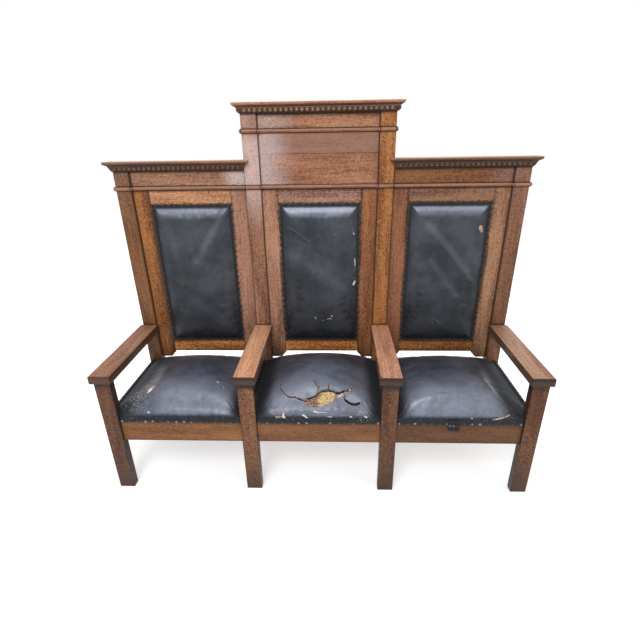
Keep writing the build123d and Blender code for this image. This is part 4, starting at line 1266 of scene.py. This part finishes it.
# Back pads: hides nailed at their edges round a thin layer of hair on the boards of the back. They
# have sagged into soft slanting folds, and their edges are scalloped between the nails
pad_border, pad_depth, pad_shoulder, pad_rise, pad_thickness = 0.016, 0.026, 0.040, 0.005, 0.002
board_face, pad_step, pad_gap, pad_dip, edge_pull, hair_gap = 0.2842, 0.0046, 0.0012, 0.0005, 0.0026, 0.0040
pad_middle, pad_half_high = (pad_bottom + pad_top) / 2, (pad_top - pad_bottom) / 2
half_u, half_w = pad_half - pad_border, pad_half_high - pad_border
edge_half, edge_high = pad_half - pad_gap, pad_half_high - pad_gap
count_u, count_w = 12, 22
pad_looks = {
    "left": dict(
        bevel=1.20,
        folds=[([(0.175, 0.355), (0.12, 0.28), (0.06, 0.18), (0.0, 0.09)], 0.020, 0.0060),
               ([(0.15, 0.36), (0.06, 0.27), (-0.01, 0.17)], 0.022, -0.0040),
               ([(-0.17, 0.34), (-0.12, 0.25), (-0.11, 0.12)], 0.020, 0.0028),
               ([(-0.13, -0.10), (-0.02, -0.16), (0.10, -0.28)], 0.030, 0.0022)],
        marks=dict(scuffs=[[(-0.105, -0.180), (-0.088, -0.195), (-0.080, -0.225)],
                           [(-0.09, -0.215), (-0.075, -0.232)]])),
    "centre": dict(
        bevel=1.45,
        folds=[([(-0.160, 0.271), (-0.110, 0.235), (-0.055, 0.198)], 0.008, 0.0024),
               ([(-0.150, 0.245), (-0.100, 0.215), (-0.060, 0.185)], 0.006, -0.0018),
               ([(-0.155, 0.210), (-0.100, 0.190), (-0.030, 0.172)], 0.006, 0.0016),
               ([(-0.150, 0.120), (-0.080, 0.112), (-0.010, 0.125)], 0.006, 0.0012),
               ([(-0.12, 0.10), (0.02, 0.02), (0.12, -0.08)], 0.030, 0.0026)],
        marks=dict(
            scuffs=[[(-0.158, 0.271), (-0.112, 0.238), (-0.057, 0.198)],
                    [(0.160, 0.309), (0.176, 0.22), (0.189, 0.148)],
                    [(0.186, 0.06), (0.194, 0.0), (0.180, -0.03)],
                    [(-0.067, -0.203), (-0.02, -0.214), (0.062, -0.246)],
                    [(-0.02, -0.225), (0.03, -0.222)], [(0.150, 0.335), (0.184, 0.320)]],
            whites=[([(0.186, -0.030), (0.180, -0.045)], 0.006), ([(0.176, 0.235), (0.178, 0.228)], 0.003),
                    ([(0.184, 0.10), (0.186, 0.06)], 0.003), ([(-0.036, -0.228), (-0.026, -0.240)], 0.0019),
                    ([(-0.006, -0.246), (0.014, -0.248)], 0.0017), ([(0.034, -0.244), (0.056, -0.238)], 0.0019),
                    ([(0.060, -0.222), (0.062, -0.230)], 0.0019)])),
    "right": dict(
        bevel=1.30,
        folds=[([(-0.108, 0.275), (-0.050, 0.215), (0.017, 0.145), (0.080, 0.065), (0.140, -0.013)],
                0.018, 0.0058),
               ([(-0.076, 0.087), (-0.004, -0.007), (0.071, -0.109)], 0.018, 0.0050),
               ([(-0.09, 0.20), (-0.01, 0.11), (0.07, 0.01)], 0.020, -0.0038)],
        marks=dict(
            scuffs=[[(-0.060, -0.232), (-0.02, -0.250), (0.05, -0.248)], [(0.10, 0.02), (0.108, 0.03)],
                    [(-0.05, -0.262), (0.02, -0.27)]],
            tans=[([(0.160, 0.262), (0.166, 0.244)], 0.010)]))}
mitre_folds = [([(a * half_u, b * half_w), (a * (half_u - 0.045), b * (half_w - 0.045))], 0.004, -0.0012)
               for a in (-1, 1) for b in (-1, 1)]


def pad_across(u):
    """How far a pad stands out across its width."""
    return arch(u, half_u, pad_depth, pad_shoulder, pad_rise)


def stand(u, w):
    along = arch(w, half_w, pad_depth + 0.001, pad_shoulder, pad_rise + 0.001)
    return np.maximum(smoothed(pad_across(u), along, 0.004), 0)


for number, (bay, look) in enumerate(pad_looks.items()):
    middle = bays[bay]

    def on_pad(line):
        """A line on the form of this pad, from places on its face beside its middle."""
        return [(middle + u, board_face - float(stand(np.array(u), np.array(w))), pad_middle + w)
                for u, w in line]

    us = paced(-edge_half, edge_half, pad_step, pad_across, (-half_u, half_u))
    ws = paced(-edge_high, edge_high, pad_step, lambda w: arch(w, half_w, pad_depth, pad_shoulder, pad_rise),
               (-half_w, half_w))
    drop = stand(*np.meshgrid(us, ws))
    plain = grid(us, ws, lambda u, w: (middle + u, board_face - np.hypot(drop, pad_thickness), pad_middle + w))
    flat = grid(us, ws, lambda u, w: (middle + u, np.full(u.shape, board_face + 0.002), pad_middle + w))
    face = swollen(f"pad_form_{bay}", plain, flat, lambda points: points[:, 1] > board_face - 0.006,
                   eased(drop, 0.001, 0.012), 0.006)
    normals = outward(face)
    wave_u = np.cos(2 * np.pi * (us / (2 * edge_half) + 0.5) * count_u)[None, :]
    wave_w = np.cos(2 * np.pi * (ws / (2 * edge_high) + 0.5) * count_w)[:, None]
    in_u, in_w = (edge_half - np.abs(us))[None, :], (edge_high - np.abs(ws))[:, None]
    dip = np.exp(-((in_w - 0.018) / 0.020) ** 2) * wave_u + np.exp(-((in_u - 0.018) / 0.020) ** 2) * wave_w
    face += normals * (-pad_dip * dip * eased(drop, 0.0005, 0.006))[..., None]

    # Darker along the edges, painted shade low down, and painted highlights on the upper bevel, on the crests
    # of the folds and over the upper part
    marks = marked(plain, on_pad, **look["marks"])
    # Painted shade over the lower part of the pad; the edges are darker too
    marks["grime"] = np.maximum(eased(drop, 0.004, 0.0) * 0.8, eased(ws, 0.10, -0.36)[:, None] * 0.4)
    below_top, from_side = (half_w - ws)[:, None], half_u - np.abs(us)[None, :]
    # Painted highlight along the upper bevel
    bevel = (eased(below_top, 0.066, 0.014) * eased(below_top, 0.001, 0.008)
             * eased(from_side - below_top * 0.8, -0.004, 0.006))
    crests = np.clip(fold_lift(plain, on_pad, look["folds"]) / 0.006, 0, 1)
    # Painted highlight on the fold crests, and a lighter upper part
    worn_and_lit = crests * 0.34 + 0.07 * eased(ws, 0.08, 0.36)[:, None]
    marks["rubbed"] = np.maximum(bevel * look["bevel"], worn_and_lit)
    face += normals * fold_lift(plain, on_pad, look["folds"] + mitre_folds)[..., None]
    skin = face.copy()
    # The edge runs in between the nails
    face[..., 0] -= edge_pull * (1 - wave_w) * np.exp(-(in_u / 0.007) ** 2) * np.sign(us)[None, :]
    face[..., 2] -= edge_pull * (1 - wave_u) * np.exp(-(in_w / 0.007) ** 2) * np.sign(ws)[:, None]
    cover = leather(f"pad_leather_{bay}", 11.7 + 2.3 * number, (0.006, 0.0064, 0.0074), (0.024, 0.0250, 0.0320),
                    rub=0.4, shine=0.5)
    hide = make_sheet(f"pad_hide_{bay}", face, face - outward(face) * pad_thickness, None, marks, cover)
    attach(hide, "root")
    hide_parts(f"back_pad_leather_{bay}")
    hair = skin - outward(skin) * hair_gap
    board_side = hair.copy()
    board_side[..., 1] = board_face - 0.0002
    filled = stand(*centres(us, ws)) > 0.009
    filling = make_sheet(f"pad_hair_{bay}", hair, board_side, filled, material=straw_pile)
    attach(filling, "root")
    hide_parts("back_pad_stuffing")
    y, pitch_u, pitch_w = board_face - 0.0022, 2 * edge_half / count_u, 2 * edge_high / count_w
    for sign in (-1, 1):
        x, z = middle + sign * (edge_half - 0.0015), pad_middle + sign * (edge_high - 0.0015)
        nails_along([(x, y, pad_bottom + 0.002), (x, y, pad_top - 0.002)], (0, -1, 0), pitch_w, 0.0008)
        nails_along([(middle - edge_half + pitch_u, y, z), (middle + edge_half - pitch_u, y, z)],
                    (0, -1, 0), pitch_u, 0.0008)


# The tab: a scrap of the same hide, nailed over the lower edge of the right seat as a patch. It
# hangs from three nails, and its free end has curled
(tab_left, tab_front, tab_low), (tab_right, _, tab_high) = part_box("leather_tab")


def tab_lie(u, w):
    """Its free end curls forward, more at the right, and its lower edge is cut crooked."""
    curl = 0.004 * eased(w, tab_low + 0.022, tab_low) * (0.4 + 0.6 * eased(u, tab_left, tab_right))
    crooked = 0.0015 * np.sin(u * 260) * eased(w, tab_low + 0.01, tab_low)
    return u, tab_front - 0.0034 - curl, w + crooked


patch_face = grid(np.linspace(tab_left + 0.001, tab_right - 0.001, 22),
                  np.linspace(tab_low + 0.002, tab_high - 0.001, 22), tab_lie)
scrap = leather("patch_leather", 23.0, (0.006, 0.006, 0.007), (0.012, 0.012, 0.014), shine=0.15)
tab = make_sheet("leather_patch", patch_face, patch_face + (0, 0.0022, 0), None,
                 {"grime": np.full(patch_face.shape[:2], 0.85)}, scrap)
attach(tab, "root")
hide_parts("leather_tab")
for x in (tab_left + 0.010, (tab_left + tab_right) / 2, tab_right - 0.010):
    hide_nails["places"].append((x, tab_front - 0.0036, tab_high - 0.030))
    hide_nails["facings"].append((0, -1, 0))


# Nails: domed iron heads, blackened with age, a finger's width apart along every edge of the hides.
# Those along the front of the seats are rubbed bright in places
def old_iron():
    finish = Finish("old_iron", Specular_IOR_Level=0.3, Coat_Weight=0.25, Coat_Roughness=0.2)
    x, y, z = finish.place()
    patina = finish.noise(x * 160, y * 160, z * 160, detail=2)
    handled = finish.between(y, -0.284, -0.287).most(finish.between(abs(x), 0.32, 0.30))
    rubbed = finish.between(finish.noise(x * 31, y * 31, z * 31, detail=1), 0.50, 0.60)
    rubbed = rubbed * finish.between(z, 0.53, 0.50) * handled
    metal = finish.mix(finish.between(patina, 0.38, 0.62), (0.006, 0.005, 0.005), (0.040, 0.032, 0.028))
    metal = finish.mix(rubbed, metal, (0.20, 0.195, 0.19))
    return finish.give(Base_Color=metal, Roughness=0.25 + patina * 0.25, Metallic=0.2 + rubbed * 0.7)


head_size = (0.0150, 0.0150, 0.0095)
nails = studs("upholstery_nails", hide_nails["places"], hide_nails["facings"], head_size, 0.07, old_iron(),
              rings=6, seed=3)
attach(nails, "root")
